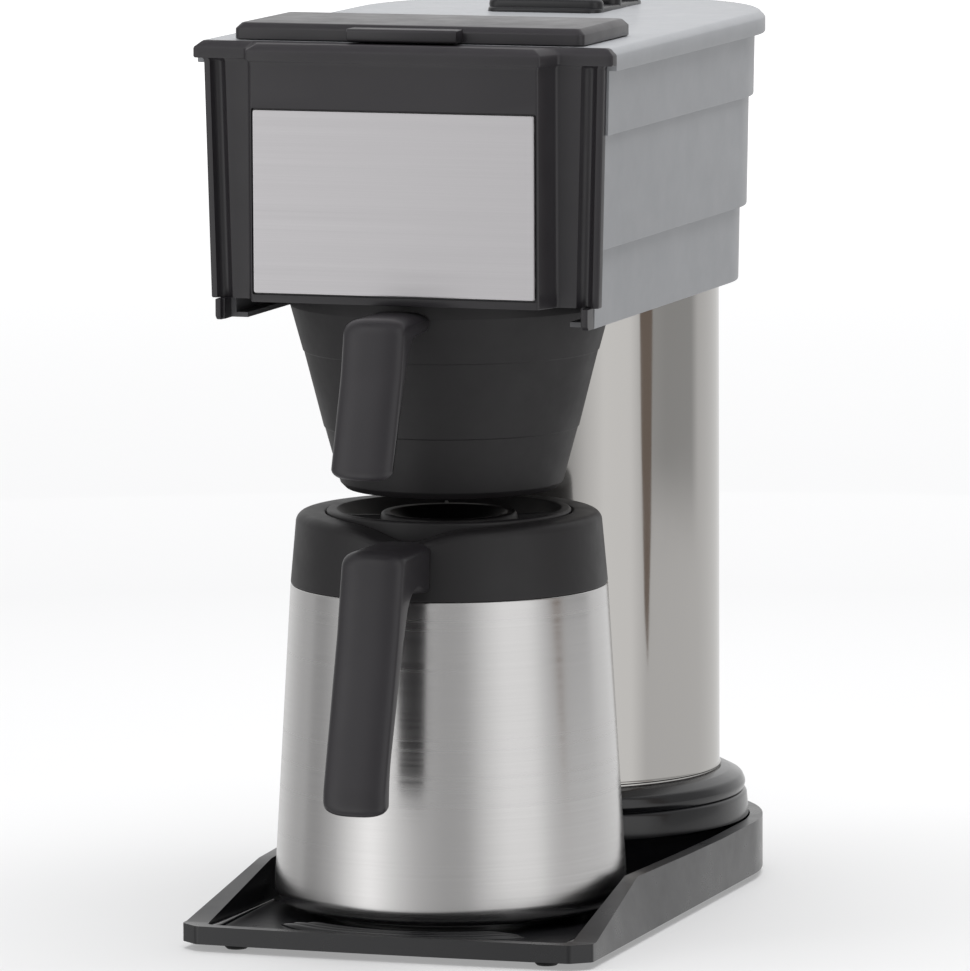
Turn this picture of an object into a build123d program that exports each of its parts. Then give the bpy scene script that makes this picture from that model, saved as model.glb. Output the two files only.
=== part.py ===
from build123d import *
import os
from math import cos, radians, sin, sqrt

# Drip coffee maker with a thermal carafe.
# Millimetres. +Z is up, +Y points to the rear, the front faces -Y.
# The origin is on the table, at the centre of the plan outline.

os.makedirs("parts", exist_ok=True)

# ---------------------------------------------------------------- driving sizes
width = 180.0             # across the lip of the hood
height = 379.0            # table to the top of the fill lid
axis_spacing = 143.5      # carafe axis to column axis
handle_reach = 125.5      # carafe axis to the front of its handle

wall = 2.5                # moulded plastic walls
seat_gap = 0.3            # between pieces that move against each other
pin_gap = 0.05            # radial, round a pin or a stem

# base
foot_height = 3.0
foot_radius = 4.9
foot_side = 21.5          # front feet inside the base's sides
foot_inset = 14.0         # and behind its front edge
rear_foot_side = 10.5
base_side = 1.5           # base narrower than the lip, each side
base_front_reach = 91.0   # carafe axis to the front edge
base_bow = 1.5            # the front edge bows out by this much
base_corner = 8.0
base_wall = 5.5
base_wall_front = 10.0    # the side walls are wider at their front ends
front_lip_height = 7.5
side_wall_height = 25.5
slope_start = 5.0         # behind the corner
slope_length = 68.0
floor_height = 5.0        # tray floor above the underside of the base
floor_wall = 2.5
plate_wall = 1.5
plate_inset = 4.0
rib_height = 2.9
rib_width = 2.4
rib_radii = (30.0, 44.0, 58.0)
crescent_radii = (76.0, 81.0)
crescent_half_angle = 44.0
screw_circle = 68.0
screw_radius = 1.5
screw_head_radius = 3.0

# column
column_radius = 70.0
column_wall = 0.8
foot_ring_height = 32.0   # lower ring, above the tray floor
foot_ring_skirt = 18.0
foot_ring_step = 1.5
collar_height = 10.0
collar_inset = 2.5
ledge_height = 4.0
nest_gap = 2.4            # round the carafe, where it backs into the rings

# water tank
tank_jacket = 6.6          # insulation between the tank and the column
tank_wall = 1.0
tank_lid_wall = 5.0
gasket_height = 1.5
tube_radius = 4.0
tube_bore = 3.0
element_inset = 34.0      # heating ring inside the tank wall
element_radius = 3.5
element_leg_radius = 3.0

# hood
hood_height = 114.2
lip_height = 9.3
lip_chamfer = 3.0
tier_heights = (31.9, 46.8)              # lower two tiers, the third runs to the top
tier_insets = (9.9, 6.7, 3.8)            # half widths below the lip's, at each tier's foot
tier_rear_insets = (16.0, 11.4, 8.2)     # and at the rear
tier_draft = 1.2                         # degrees
fascia_reach = 52.0       # carafe axis to the back of the fascia
cheek_drop = 8.7          # the cheeks hang below the fascia
cheek_ahead = 9.0
floor_drop = 19.4         # hood floor above the bottom of the hood
floor_plate = 3.0

# fascia
panel_ahead = 4.5         # side flats, ahead of the fascia's back
platform_ahead = 16.5     # raised centre, ahead of the fascia's back
panel_inset_top = 4.2     # panel narrower than the lip, each side
panel_inset_bottom = 6.7
rim_drop = 7.1            # rim's underside below the top of the hood
plate_half_width = 60.3
plate_height = 74.9
plate_lift = 3.8          # above the fascia's lower edge
plate_thickness = 0.8

# fill lid, reservoir and valve
lid_rise = 7.2            # lid top above the hood
lid_half_width = 75.0
lid_depth = 64.0
lid_front_reach = 2.0     # lid's front edge behind the fascia's back
lid_chamfer = 2.4
tab_half_width = 23.6
tab_reach = 8.4
hinge_pin_radius = 1.5
hinge_knuckle_radius = 3.0
knuckle_width = 14.0
knuckle_x = 44.0
ear_width = 4.0
opening_margin = 5.0
reservoir_height = 70.0
reservoir_depth = 150.0
reservoir_wall = 2.2
reservoir_gap = 3.5
valve_x = -38.0
valve_behind_hinge = -20.0
stem_radius = 2.0
pusher_radius = 5.0
pusher_drop = 6.0

# brew funnel
funnel_setback = 4.0      # funnel axis behind the carafe axis
funnel_bottom_radius = 46.2
funnel_top_radius = 66.5
funnel_height = 79.0
funnel_floor_wall = 3.0
drip_radius = 3.5
nozzle_length = 4.0
rail_ledge = 2.0
rail_bite = 5.0
flange_height = 2.6
funnel_handle_half_width = 13.0
funnel_handle_reach = 97.0
funnel_handle_lean = 19.0
funnel_handle_height = 63.0
funnel_handle_wall = 10.0
spray_radius = 30.0
spray_height = 8.0

# carafe
carafe_max_radius = 72.1
carafe_top_radius = 65.8
carafe_foot_radius = 10.0
carafe_height = 133.5     # steel body
carafe_wall = 0.8
liner_gap = 5.0
neck_radius = 45.0
collar_body_height = 26.4
collar_top_radius = 63.4
collar_crown = 3.4
lid_seat_radius = 51.0
lid_seat_depth = 16.0
lid_ring_height = 1.0
grip_half_width = 13.3
grip_wall = 13.0
grip_drop = 106.0
grip_lean = 21.0
spout_half_width = 15.0
spout_height = 3.0

# ---------------------------------------------------------------- derived places
lip_radius = width / 2
depth = handle_reach + axis_spacing + lip_radius
carafe_y = handle_reach - depth / 2
column_y = carafe_y + axis_spacing
funnel_y = carafe_y + funnel_setback

base_z = foot_height
tray_z = base_z + floor_height
rest_z = tray_z + rib_height
hood_top_z = height - lid_rise
hood_z = hood_top_z - hood_height
lip_z = hood_top_z - lip_height
fascia_z = hood_z + cheek_drop
rim_z = hood_top_z - rim_drop
hood_floor_z = hood_z + floor_drop
fascia_y = carafe_y - fascia_reach
panel_y = fascia_y - panel_ahead
platform_y = fascia_y - platform_ahead

base_half = lip_radius - base_side
base_front_y = carafe_y - base_front_reach
base_corner_y = base_front_y + base_corner
tray_half = base_half - base_wall
ring_lip_radius = tray_half - 0.5
ring_top_z = tray_z + foot_ring_height
collar_top_z = ring_top_z + collar_height
column_z = ring_top_z + ledge_height
carafe_z = rest_z + seat_gap
nest_radius = carafe_max_radius + nest_gap

column_top_z = hood_floor_z
tank_radius = column_radius - column_wall - tank_jacket - 2 * seat_gap
element_ring_radius = tank_radius - element_inset
tank_z = column_z
tank_top_z = hood_floor_z - tank_lid_wall - gasket_height - 4.0
gasket_z = tank_top_z
tank_lid_z = gasket_z + gasket_height

lid_z = hood_top_z + seat_gap
lid_y0 = fascia_y + lid_front_reach
lid_y1 = lid_y0 + lid_depth
hinge_y = lid_y1 + hinge_knuckle_radius + 1.0
hinge_z = hood_top_z + hinge_knuckle_radius + seat_gap
valve_y = hinge_y + valve_behind_hinge
reservoir_y0 = fascia_y + 5.0
reservoir_y1 = reservoir_y0 + reservoir_depth
reservoir_top_z = hood_top_z - wall - 0.8
reservoir_z = reservoir_top_z - reservoir_height

tier_z = (hood_z, hood_z + tier_heights[0], hood_z + sum(tier_heights))
tier_tops = (tier_z[1], tier_z[2], hood_top_z)
tier_half = tuple(lip_radius - inset for inset in tier_insets)
tier_rear = tuple(depth / 2 - inset for inset in tier_rear_insets)


def upright_plane(y):
    """The XZ plane through a given y."""
    return Plane.XZ.offset(-y)


def upright_axis(y):
    """A vertical axis on the centre plane."""
    return Axis((0, y, 0), (0, 0, 1))


def shape(*points):
    """A straight-sided closed outline in the sketch that calls it."""
    Polygon(*points, align=None)


def tower_outline(half, rear, front):
    """Straight sides that run back into a half round."""
    centre = rear - half
    Line((half, centre), (half, front))
    Line((half, front), (-half, front))
    Line((-half, front), (-half, centre))
    ThreePointArc((-half, centre), (0, rear), (half, centre))


def base_outline(inset):
    """The base in plan: bowed front, cut corners, round rear."""
    half = base_half - inset
    front = base_front_y + inset
    corner = base_corner_y + inset
    bowed = front + base_bow
    Line((half, column_y), (half, corner))
    Line((half, corner), (half - base_corner, bowed))
    ThreePointArc((half - base_corner, bowed), (0, front), (base_corner - half, bowed))
    Line((base_corner - half, bowed), (-half, corner))
    Line((-half, corner), (-half, column_y))
    ThreePointArc((-half, column_y), (0, column_y + half), (half, column_y))


# ================================================================ base
wall_top_z = base_z + side_wall_height
lip_top_z = base_z + front_lip_height
slope_y0 = base_corner_y + slope_start
slope_y1 = slope_y0 + slope_length
beyond = depth            # longer than anything that it cuts

switch_y = column_y - 18.0
switch_z = base_z + 14.0
switch_length = 22.0
switch_height = 14.0
switch_pocket = 16.0
gland_z = base_z + 12.0
gland_radius = 6.0

screw_points = [
    (screw_circle * cos(radians(a)), column_y + screw_circle * sin(radians(a)))
    for a in (35, 145, 215, 325)
]

with BuildPart() as tray_base:
    with BuildSketch(Plane.XY.offset(base_z)):
        with BuildLine():
            base_outline(0)
        make_face()
    extrude(amount=side_wall_height)
    # the side walls slope down to the front lip
    with BuildSketch(Plane.YZ):
        shape(
            (slope_y1, wall_top_z),
            (slope_y0, lip_top_z),
            (base_front_y - 1, lip_top_z),
            (base_front_y - 1, wall_top_z + 1),
            (slope_y1, wall_top_z + 1),
        )
    extrude(amount=beyond, both=True, mode=Mode.SUBTRACT)
    rim_edges = tray_base.edges().filter_by(
        lambda e: e.center().Z > lip_top_z + 1
        and (abs(e.center().X) > base_half - 1 or e.center().Y > column_y + base_half / 2)
        and e.bounding_box().min.Z > lip_top_z - 0.1
    )
    fillet(rim_edges, radius=2.6)
    # tray inside the walls
    with BuildSketch(Plane.XY.offset(tray_z)):
        with BuildLine():
            front_in = base_front_y + 5.0
            half_in = base_half - base_wall_front
            Line((tray_half, column_y), (tray_half, slope_y1))
            Line((tray_half, slope_y1), (half_in, slope_y0))
            Line((half_in, slope_y0), (half_in - 4, front_in + base_bow))
            front_side = half_in - 4
            bowed_in = front_in + base_bow
            ThreePointArc((front_side, bowed_in), (0, front_in), (-front_side, bowed_in))
            Line((-front_side, bowed_in), (-half_in, slope_y0))
            Line((-half_in, slope_y0), (-tray_half, slope_y1))
            Line((-tray_half, slope_y1), (-tray_half, column_y))
            ThreePointArc((-tray_half, column_y), (0, column_y + tray_half), (tray_half, column_y))
        make_face()
    extrude(amount=side_wall_height, mode=Mode.SUBTRACT)
    # round ribs that carry the carafe
    for radius in rib_radii:
        with BuildSketch(Plane.XY.offset(tray_z)):
            with Locations((0, carafe_y)):
                Circle(radius)
                Circle(radius - rib_width, mode=Mode.SUBTRACT)
        extrude(amount=rib_height)
    # low crescents in front of the carafe
    for step, radius in enumerate(crescent_radii):
        with BuildSketch(Plane.XY.offset(tray_z)):
            with BuildLine():
                inside = radius - rib_width
                start_angle = 270 - crescent_half_angle
                CenterArc((0, carafe_y), radius, start_angle, 2 * crescent_half_angle)
                CenterArc((0, carafe_y), inside, start_angle, 2 * crescent_half_angle)
                for side in (-1, 1):
                    angle = radians(270 + side * crescent_half_angle)
                    Line(
                        (radius * cos(angle), carafe_y + radius * sin(angle)),
                        (inside * cos(angle), carafe_y + inside * sin(angle)),
                    )
            make_face()
        extrude(amount=1.8 - 0.6 * step)
    # hollow underside, closed by the bottom plate
    with BuildSketch(Plane.XY.offset(base_z)):
        with BuildLine():
            base_outline(plate_inset)
        make_face()
    extrude(amount=floor_height - floor_wall, mode=Mode.SUBTRACT)
    # screw holes, the switch's pocket and the cord's hole
    with Locations(*[(x, y, tray_z - floor_wall / 2) for x, y in screw_points]):
        Cylinder(screw_radius + 0.1, floor_wall + 1, mode=Mode.SUBTRACT)
    with Locations((-base_half, switch_y, switch_z)):
        Box(2 * base_wall + 2, switch_length, switch_height, mode=Mode.SUBTRACT)
    with Locations((0, column_y + base_half - base_wall / 2, gland_z)):
        Cylinder(gland_radius + pin_gap, base_wall + 4, rotation=(90, 0, 0), mode=Mode.SUBTRACT)
tray_base.part.label = "tray_base"
export_step(tray_base.part, "parts/tray_base.step")

foot_points = [
    (side * (base_half - inset), y)
    for side in (-1, 1)
    for inset, y in ((foot_side, base_front_y + foot_inset), (rear_foot_side, column_y - 4.0))
]

with BuildPart() as base_plate:
    with BuildSketch(Plane.XY.offset(base_z)):
        with BuildLine():
            base_outline(plate_inset + 0.2)
        make_face()
    extrude(amount=plate_wall)
    with Locations(*[(x, y, base_z + plate_wall / 2) for x, y in screw_points]):
        Cylinder(screw_radius + 0.1, plate_wall + 1, mode=Mode.SUBTRACT)
    with Locations(*[(x, y, base_z + plate_wall / 2) for x, y in foot_points]):
        Cylinder(foot_radius / 2, plate_wall + 1, mode=Mode.SUBTRACT)
base_plate.part.label = "base_plate"
export_step(base_plate.part, "parts/base_plate.step")

with BuildPart() as feet:
    with BuildSketch(Plane.XY):
        with Locations(*foot_points):
            Circle(foot_radius)
    extrude(amount=foot_height)
    chamfer(feet.edges().group_by(Axis.Z)[0], length=0.8)
    with BuildSketch(Plane.XY.offset(foot_height)):
        with Locations(*foot_points):
            Circle(foot_radius / 2 - pin_gap)
    extrude(amount=plate_wall)
feet.part.label = "feet"
export_step(feet.part, "parts/feet.step")

screw_reach = floor_height + 10.0

with BuildPart() as base_screws:
    with BuildSketch(Plane.XY.offset(base_z - 1.2)):
        with Locations(*screw_points):
            Circle(screw_head_radius)
    extrude(amount=1.2)
    with BuildSketch(Plane.XY.offset(base_z)):
        with Locations(*screw_points):
            Circle(screw_radius)
    extrude(amount=screw_reach)
    # cross slots in the heads
    with BuildSketch(Plane.XY.offset(base_z - 1.2)):
        with Locations(*screw_points):
            Rectangle(3.6, 0.8)
            Rectangle(0.8, 3.6)
    extrude(amount=0.7, mode=Mode.SUBTRACT)
base_screws.part.label = "base_screws"
export_step(base_screws.part, "parts/base_screws.step")

# ================================================================ column
foot_ring_bore = screw_circle - 8.0

with BuildPart() as column_foot:
    with BuildSketch(upright_plane(column_y)):
        with BuildLine():
            skirt = ring_lip_radius - foot_ring_step
            skirt_z = tray_z + foot_ring_skirt
            Polyline(
                (foot_ring_bore, tray_z),
                (skirt, tray_z),
                (skirt, skirt_z - 1.0),
                (ring_lip_radius, skirt_z),
                (ring_lip_radius - 0.8, ring_top_z - 1.5),
                (ring_lip_radius - 2.3, ring_top_z),
                (foot_ring_bore, ring_top_z),
                close=True,
            )
        make_face()
    revolve(axis=upright_axis(column_y))
    # the carafe backs into a nest in the front of the ring
    with Locations((0, carafe_y, tray_z + foot_ring_height / 2)):
        Cylinder(nest_radius, foot_ring_height + 1, mode=Mode.SUBTRACT)
    with Locations(*[(x, y, tray_z + 5.0) for x, y in screw_points]):
        Cylinder(screw_radius + pin_gap, 10.5, mode=Mode.SUBTRACT)
    with Locations((switch_pocket / 2 - base_half - 0.5, switch_y, switch_z)):
        Box(switch_pocket + 1, switch_length, switch_height, mode=Mode.SUBTRACT)
    gland_way = tray_half - foot_ring_bore + 4
    with Locations((0, column_y + (foot_ring_bore + tray_half) / 2, gland_z)):
        Cylinder(gland_radius + pin_gap, gland_way, rotation=(90, 0, 0), mode=Mode.SUBTRACT)
column_foot.part.label = "column_foot"
export_step(column_foot.part, "parts/column_foot.step")

collar_radius = ring_lip_radius - collar_inset

with BuildPart() as column_collar:
    with BuildSketch(upright_plane(column_y)):
        with BuildLine():
            bore = column_radius + pin_gap
            ledge = tank_radius - 4.0
            shoulder = collar_radius - bore - 1.5
            Line((ledge, ring_top_z), (collar_radius - 0.8, ring_top_z))
            ThreePointArc(
                (collar_radius - 0.8, ring_top_z),
                (collar_radius, ring_top_z + 3.0),
                (collar_radius - 1.6, ring_top_z + 6.6),
            )
            ThreePointArc(
                (collar_radius - 1.6, ring_top_z + 6.6),
                (bore + 0.6 * shoulder, collar_top_z - 0.7),
                (bore + 1.0, collar_top_z),
            )
            Polyline(
                (bore + 1.0, collar_top_z),
                (bore, collar_top_z - 0.6),
                (bore, column_z),
                (ledge, column_z),
                (ledge, ring_top_z),
            )
        make_face()
    revolve(axis=upright_axis(column_y))
    with Locations((0, carafe_y, ring_top_z + collar_height / 2)):
        Cylinder(nest_radius, collar_height + 1, mode=Mode.SUBTRACT)
column_collar.part.label = "column_collar"
export_step(column_collar.part, "parts/column_collar.step")

with BuildPart() as column_skin:
    with BuildSketch(Plane.XY.offset(column_z)):
        with Locations((0, column_y)):
            Circle(column_radius)
            Circle(column_radius - column_wall, mode=Mode.SUBTRACT)
    extrude(amount=column_top_z - column_z)
column_skin.part.label = "column_skin"
export_step(column_skin.part, "parts/column_skin.step")

# ================================================================ water tank
with BuildPart() as water_tank:
    with BuildSketch(Plane.XY.offset(tank_z)):
        with Locations((0, column_y)):
            Circle(tank_radius)
    extrude(amount=tank_top_z - tank_z)
    with BuildSketch(Plane.XY.offset(tank_z + tank_wall)):
        with Locations((0, column_y)):
            Circle(tank_radius - tank_wall)
    extrude(amount=tank_top_z - tank_z, mode=Mode.SUBTRACT)
    # rolled rim
    with BuildSketch(Plane.XY.offset(tank_top_z - 1.5)):
        with Locations((0, column_y)):
            Circle(tank_radius + 2.5)
            Circle(tank_radius - tank_wall, mode=Mode.SUBTRACT)
    extrude(amount=1.5)
water_tank.part.label = "water_tank"
export_step(water_tank.part, "parts/water_tank.step")

with BuildPart() as tank_insulation:
    with BuildSketch(Plane.XY.offset(tank_z)):
        with Locations((0, column_y)):
            Circle(column_radius - column_wall - seat_gap)
            Circle(tank_radius + seat_gap, mode=Mode.SUBTRACT)
    extrude(amount=tank_top_z - tank_z - 6.0)
tank_insulation.part.label = "tank_insulation"
export_step(tank_insulation.part, "parts/tank_insulation.step")

with BuildPart() as tank_gasket:
    with BuildSketch(Plane.XY.offset(gasket_z)):
        with Locations((0, column_y)):
            Circle(tank_radius + 2.5)
            Circle(tank_radius - 4.0, mode=Mode.SUBTRACT)
    extrude(amount=gasket_height)
tank_gasket.part.label = "tank_gasket"
export_step(tank_gasket.part, "parts/tank_gasket.step")

fill_drop_y = column_y - 10.0
spray_rise_y = column_y - 15.0
element_x = element_ring_radius / 2
element_y = column_y + sqrt(element_ring_radius**2 - element_x**2)

with BuildPart() as tank_lid:
    with BuildSketch(Plane.XY.offset(tank_lid_z)):
        with Locations((0, column_y)):
            Circle(tank_radius + 2.5)
        with Locations((valve_x, fill_drop_y), (0, spray_rise_y)):
            Circle(tube_radius + pin_gap, mode=Mode.SUBTRACT)
        with Locations((element_x, element_y), (-element_x, element_y)):
            Circle(element_leg_radius + pin_gap, mode=Mode.SUBTRACT)
    extrude(amount=tank_lid_wall)
tank_lid.part.label = "tank_lid"
export_step(tank_lid.part, "parts/tank_lid.step")

element_z = tank_z + 14.0

with BuildPart() as heating_element:
    with BuildSketch(Plane.XZ.offset(-column_y)):
        with Locations((element_ring_radius, element_z)):
            Circle(element_radius)
    revolve(axis=upright_axis(column_y))
    with BuildSketch(Plane.XY.offset(element_z)):
        with Locations((element_x, element_y), (-element_x, element_y)):
            Circle(element_leg_radius)
    extrude(amount=tank_lid_z + tank_lid_wall + 3.0 - element_z)
heating_element.part.label = "heating_element"
export_step(heating_element.part, "parts/heating_element.step")

with BuildPart() as thermostat:
    with BuildSketch(Plane.XY.offset(tank_lid_z + tank_lid_wall)):
        with Locations((30.0, column_y - 10.0)):
            Circle(8.0)
    extrude(amount=3.6)
    with BuildSketch(Plane.XY.offset(tank_lid_z + tank_lid_wall)):
        with Locations((30.0, column_y - 10.0)):
            Rectangle(24.0, 7.0)
    extrude(amount=1.2)
thermostat.part.label = "thermostat"
export_step(thermostat.part, "parts/thermostat.step")

# ================================================================ hood
with BuildPart() as hood_shell:
    # three tiers, each a little wider than the one below
    for z, top, half, rear in zip(tier_z, tier_tops, tier_half, tier_rear):
        with BuildSketch(Plane.XY.offset(z)):
            with BuildLine():
                tower_outline(half, rear, fascia_y)
            make_face()
        extrude(amount=min(top, hood_top_z - 1) - z, taper=-tier_draft)
    # lip round the top
    with BuildSketch(Plane.XY.offset(lip_z)):
        with BuildLine():
            tower_outline(lip_radius, depth / 2, fascia_y)
        make_face()
    extrude(amount=lip_height)
    top_edges = hood_shell.faces().sort_by(Axis.Z)[-1].outer_wire().edges()
    chamfer(top_edges.filter_by(lambda e: e.center().Y > fascia_y + 1), length=lip_chamfer)
    # the draft leans the tiers' front forwards, so their front is cut back flat
    with Locations((0, fascia_y - 10, hood_z + hood_height / 2)):
        Box(beyond, 20, hood_height + 2, mode=Mode.SUBTRACT)
    # cheeks that reach forward below the fascia
    with BuildSketch(Plane.XY.offset(hood_z)):
        with Locations((0, fascia_y - cheek_ahead / 2 + 1)):
            Rectangle(2 * tier_half[0], cheek_ahead + 2)
    extrude(amount=cheek_drop)
    # hollow inside, tier by tier, with a full wall left at each step
    for z, top, half, rear in zip(tier_z, tier_tops, tier_half, tier_rear):
        inner_top = min(top + wall, hood_top_z - wall)
        inner_z = z if z == hood_z else z + wall
        with BuildSketch(Plane.XY.offset(inner_z)):
            with BuildLine():
                tower_outline(half - wall, rear - wall, fascia_y - cheek_ahead - 3)
            make_face()
        extrude(amount=inner_top - inner_z, mode=Mode.SUBTRACT)
    # opening under the fill lid
    with BuildSketch(Plane.XY.offset(hood_top_z - wall - 1)):
        with Locations((0, (lid_y0 + lid_y1) / 2)):
            RectangleRounded(2 * (lid_half_width - opening_margin), lid_depth - 2 * opening_margin, 4)
    extrude(amount=wall + 2, mode=Mode.SUBTRACT)
    # ears for the lid's hinge pin
    with BuildSketch(Plane.YZ.offset(knuckle_x + knuckle_width / 2 + seat_gap)):
        with Locations((hinge_y, hinge_z)):
            Circle(hinge_knuckle_radius)
        with Locations((hinge_y, hinge_z - hinge_knuckle_radius)):
            Rectangle(2 * hinge_knuckle_radius, 2 * hinge_knuckle_radius)
    extrude(amount=ear_width)
    with BuildSketch(Plane.YZ.offset(-knuckle_x - knuckle_width / 2 - seat_gap - ear_width)):
        with Locations((hinge_y, hinge_z)):
            Circle(hinge_knuckle_radius)
        with Locations((hinge_y, hinge_z - hinge_knuckle_radius)):
            Rectangle(2 * hinge_knuckle_radius, 2 * hinge_knuckle_radius)
    extrude(amount=ear_width)
    with BuildSketch(Plane.YZ):
        with Locations((hinge_y, hinge_z)):
            Circle(hinge_pin_radius + pin_gap)
    extrude(amount=lid_half_width, both=True, mode=Mode.SUBTRACT)
hood_shell.part.label = "hood_shell"
export_step(hood_shell.part, "parts/hood_shell.step")

with BuildPart() as lid_hinge_pin:
    with BuildSketch(Plane.YZ):
        with Locations((hinge_y, hinge_z)):
            Circle(hinge_pin_radius)
    extrude(amount=knuckle_x + knuckle_width / 2 + seat_gap + ear_width, both=True)
lid_hinge_pin.part.label = "lid_hinge_pin"
export_step(lid_hinge_pin.part, "parts/lid_hinge_pin.step")

floor_half = tier_half[0] - wall - 0.2
floor_rear = tier_rear[0] - wall - 0.2
post_height = reservoir_z - hood_floor_z - floor_plate

with BuildPart() as hood_floor:
    with BuildSketch(Plane.XY.offset(hood_floor_z)):
        with BuildLine():
            tower_outline(floor_half, floor_rear, fascia_y + 1)
        make_face()
        with Locations((valve_x, fill_drop_y), (0, spray_rise_y), (0, funnel_y)):
            Circle(tube_radius + 0.4, mode=Mode.SUBTRACT)
    extrude(amount=floor_plate)
    # posts that carry the reservoir
    with BuildSketch(Plane.XY.offset(hood_floor_z + floor_plate)):
        with Locations(*[
            (x, y) for x in (-62.0, 62.0) for y in (reservoir_y0 + 18.0, reservoir_y1 - 18.0)
        ]):
            Circle(5.0)
    extrude(amount=post_height)
hood_floor.part.label = "hood_floor"
export_step(hood_floor.part, "parts/hood_floor.step")

pan_front_y = column_y - 0.45 * column_radius

with BuildPart() as hood_pan:
    with BuildSketch(Plane.XY.offset(hood_z + 0.8)):
        with BuildLine():
            tower_outline(floor_half, floor_rear, pan_front_y)
        make_face()
        with Locations((0, column_y)):
            Circle(column_radius + pin_gap, mode=Mode.SUBTRACT)
    extrude(amount=wall)
hood_pan.part.label = "hood_pan"
export_step(hood_pan.part, "parts/hood_pan.step")

with BuildPart() as funnel_rails:
    # a ledge and a web on each side of the hood's inside
    rail_in = floor_half - rail_bite - 3.0
    web_in = floor_half - 3.0
    rail_y0 = fascia_y + 1.0
    rail_length = pan_front_y - 1.0 - rail_y0
    rail_out = floor_half + 0.2
    rail_z = hood_z + 0.4
    rail_middle = rail_y0 + rail_length / 2
    web_height = 14.0
    for side in (-1, 1):
        with Locations((side * (rail_in + rail_out) / 2, rail_middle, rail_z + rail_ledge / 2)):
            Box(rail_out - rail_in, rail_length, rail_ledge)
        with Locations((side * (web_in + rail_out) / 2, rail_middle, rail_z + web_height / 2)):
            Box(rail_out - web_in, rail_length, web_height)
funnel_rails.part.label = "funnel_rails"
export_step(funnel_rails.part, "parts/funnel_rails.step")

vent_half = 25.3
vent_y0 = column_y - 18.0
vent_pitch = 25.0
vent_length = 66.0
vent_rise = 5.6

with BuildPart() as steam_vent:
    with BuildSketch(Plane.XY.offset(hood_top_z)):
        with Locations((0, vent_y0 + vent_length / 2)):
            RectangleRounded(2 * vent_half, vent_length, 6)
    extrude(amount=2.0)
    fillet(steam_vent.edges().group_by(Axis.Z)[-1], radius=1.4)
    # three louvres with round ends
    for index in range(3):
        louvre_y = vent_y0 + 7.5 + index * vent_pitch
        with BuildSketch(Plane.XY.offset(hood_top_z)):
            with Locations((0, louvre_y)):
                RectangleRounded(2 * vent_half, 10.0, 4.9)
        extrude(amount=vent_rise)
    fillet(steam_vent.edges().group_by(Axis.Z)[-1], radius=2.4)
steam_vent.part.label = "steam_vent"
export_step(steam_vent.part, "parts/steam_vent.step")

# ================================================================ fascia
panel_top_half = lip_radius - panel_inset_top
panel_bottom_half = lip_radius - panel_inset_bottom


def fascia_outline(half, back):
    """The fascia in plan: raised centre, flats and a hollow channel each side."""
    right = (
        (half, back),
        (half, panel_y),
        (half - 2.6, panel_y),
    )
    channel = (
        (half - 2.6, panel_y),
        (half - 5.6, panel_y + 2.7),
        (half - 9.4, panel_y),
    )
    flank = (
        (half - 9.4, panel_y),
        (half - 15.6, panel_y),
        (plate_half_width + 4.4, panel_y - 4.0),
        (plate_half_width + 0.7, platform_y),
    )
    Polyline(*right)
    ThreePointArc(*channel)
    Polyline(*flank)
    Line(flank[-1], (-flank[-1][0], flank[-1][1]))
    Polyline(*[(-x, y) for x, y in reversed(flank)])
    ThreePointArc(*[(-x, y) for x, y in reversed(channel)])
    Polyline(*[(-x, y) for x, y in reversed(right)])
    Line((-half, back), (half, back))


with BuildPart() as fascia:
    with BuildSketch(Plane.XY.offset(fascia_z)):
        with BuildLine():
            fascia_outline(panel_bottom_half, fascia_y)
        make_face()
    with BuildSketch(Plane.XY.offset(rim_z)):
        with BuildLine():
            fascia_outline(panel_top_half, fascia_y)
        make_face()
    loft(ruled=True)
    # rim along the top
    rim_half = lip_radius
    with BuildSketch(Plane.XY.offset(rim_z)):
        shape(
            (rim_half, fascia_y),
            (rim_half, panel_y + 1.0),
            (rim_half - 2.0, panel_y - 0.8),
            (plate_half_width + 11.0, panel_y - 0.8),
            (plate_half_width + 2.2, platform_y - 1.6),
            (-plate_half_width - 2.2, platform_y - 1.6),
            (-plate_half_width - 11.0, panel_y - 0.8),
            (2.0 - rim_half, panel_y - 0.8),
            (-rim_half, panel_y + 1.0),
            (-rim_half, fascia_y),
        )
    extrude(amount=hood_top_z - rim_z)
    crown = fascia.faces().sort_by(Axis.Z)[-1].outer_wire().edges()
    chamfer(crown.filter_by(lambda e: e.center().Y < fascia_y - 0.5), length=lip_chamfer)
    # hollow behind the raised centre
    with BuildSketch(Plane.XY.offset(fascia_z + wall)):
        shape(
            (plate_half_width + 2.0, fascia_y),
            (plate_half_width - 1.5, platform_y + wall),
            (1.5 - plate_half_width, platform_y + wall),
            (-plate_half_width - 2.0, fascia_y),
        )
    extrude(amount=hood_top_z - fascia_z - 2 * wall, mode=Mode.SUBTRACT)
fascia.part.label = "fascia"
export_step(fascia.part, "parts/fascia.step")

badge_z = fascia_z + plate_lift

with BuildPart() as badge_plate:
    with Locations((0, platform_y - plate_thickness / 2, badge_z + plate_height / 2)):
        Box(2 * plate_half_width, plate_thickness, plate_height)
    chamfer(badge_plate.faces().sort_by(Axis.Y)[0].edges(), length=0.6)
badge_plate.part.label = "badge_plate"
export_step(badge_plate.part, "parts/badge_plate.step")

# ================================================================ reservoir, valve and tubes
reservoir_half = tier_half[1] - wall - reservoir_gap

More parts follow.
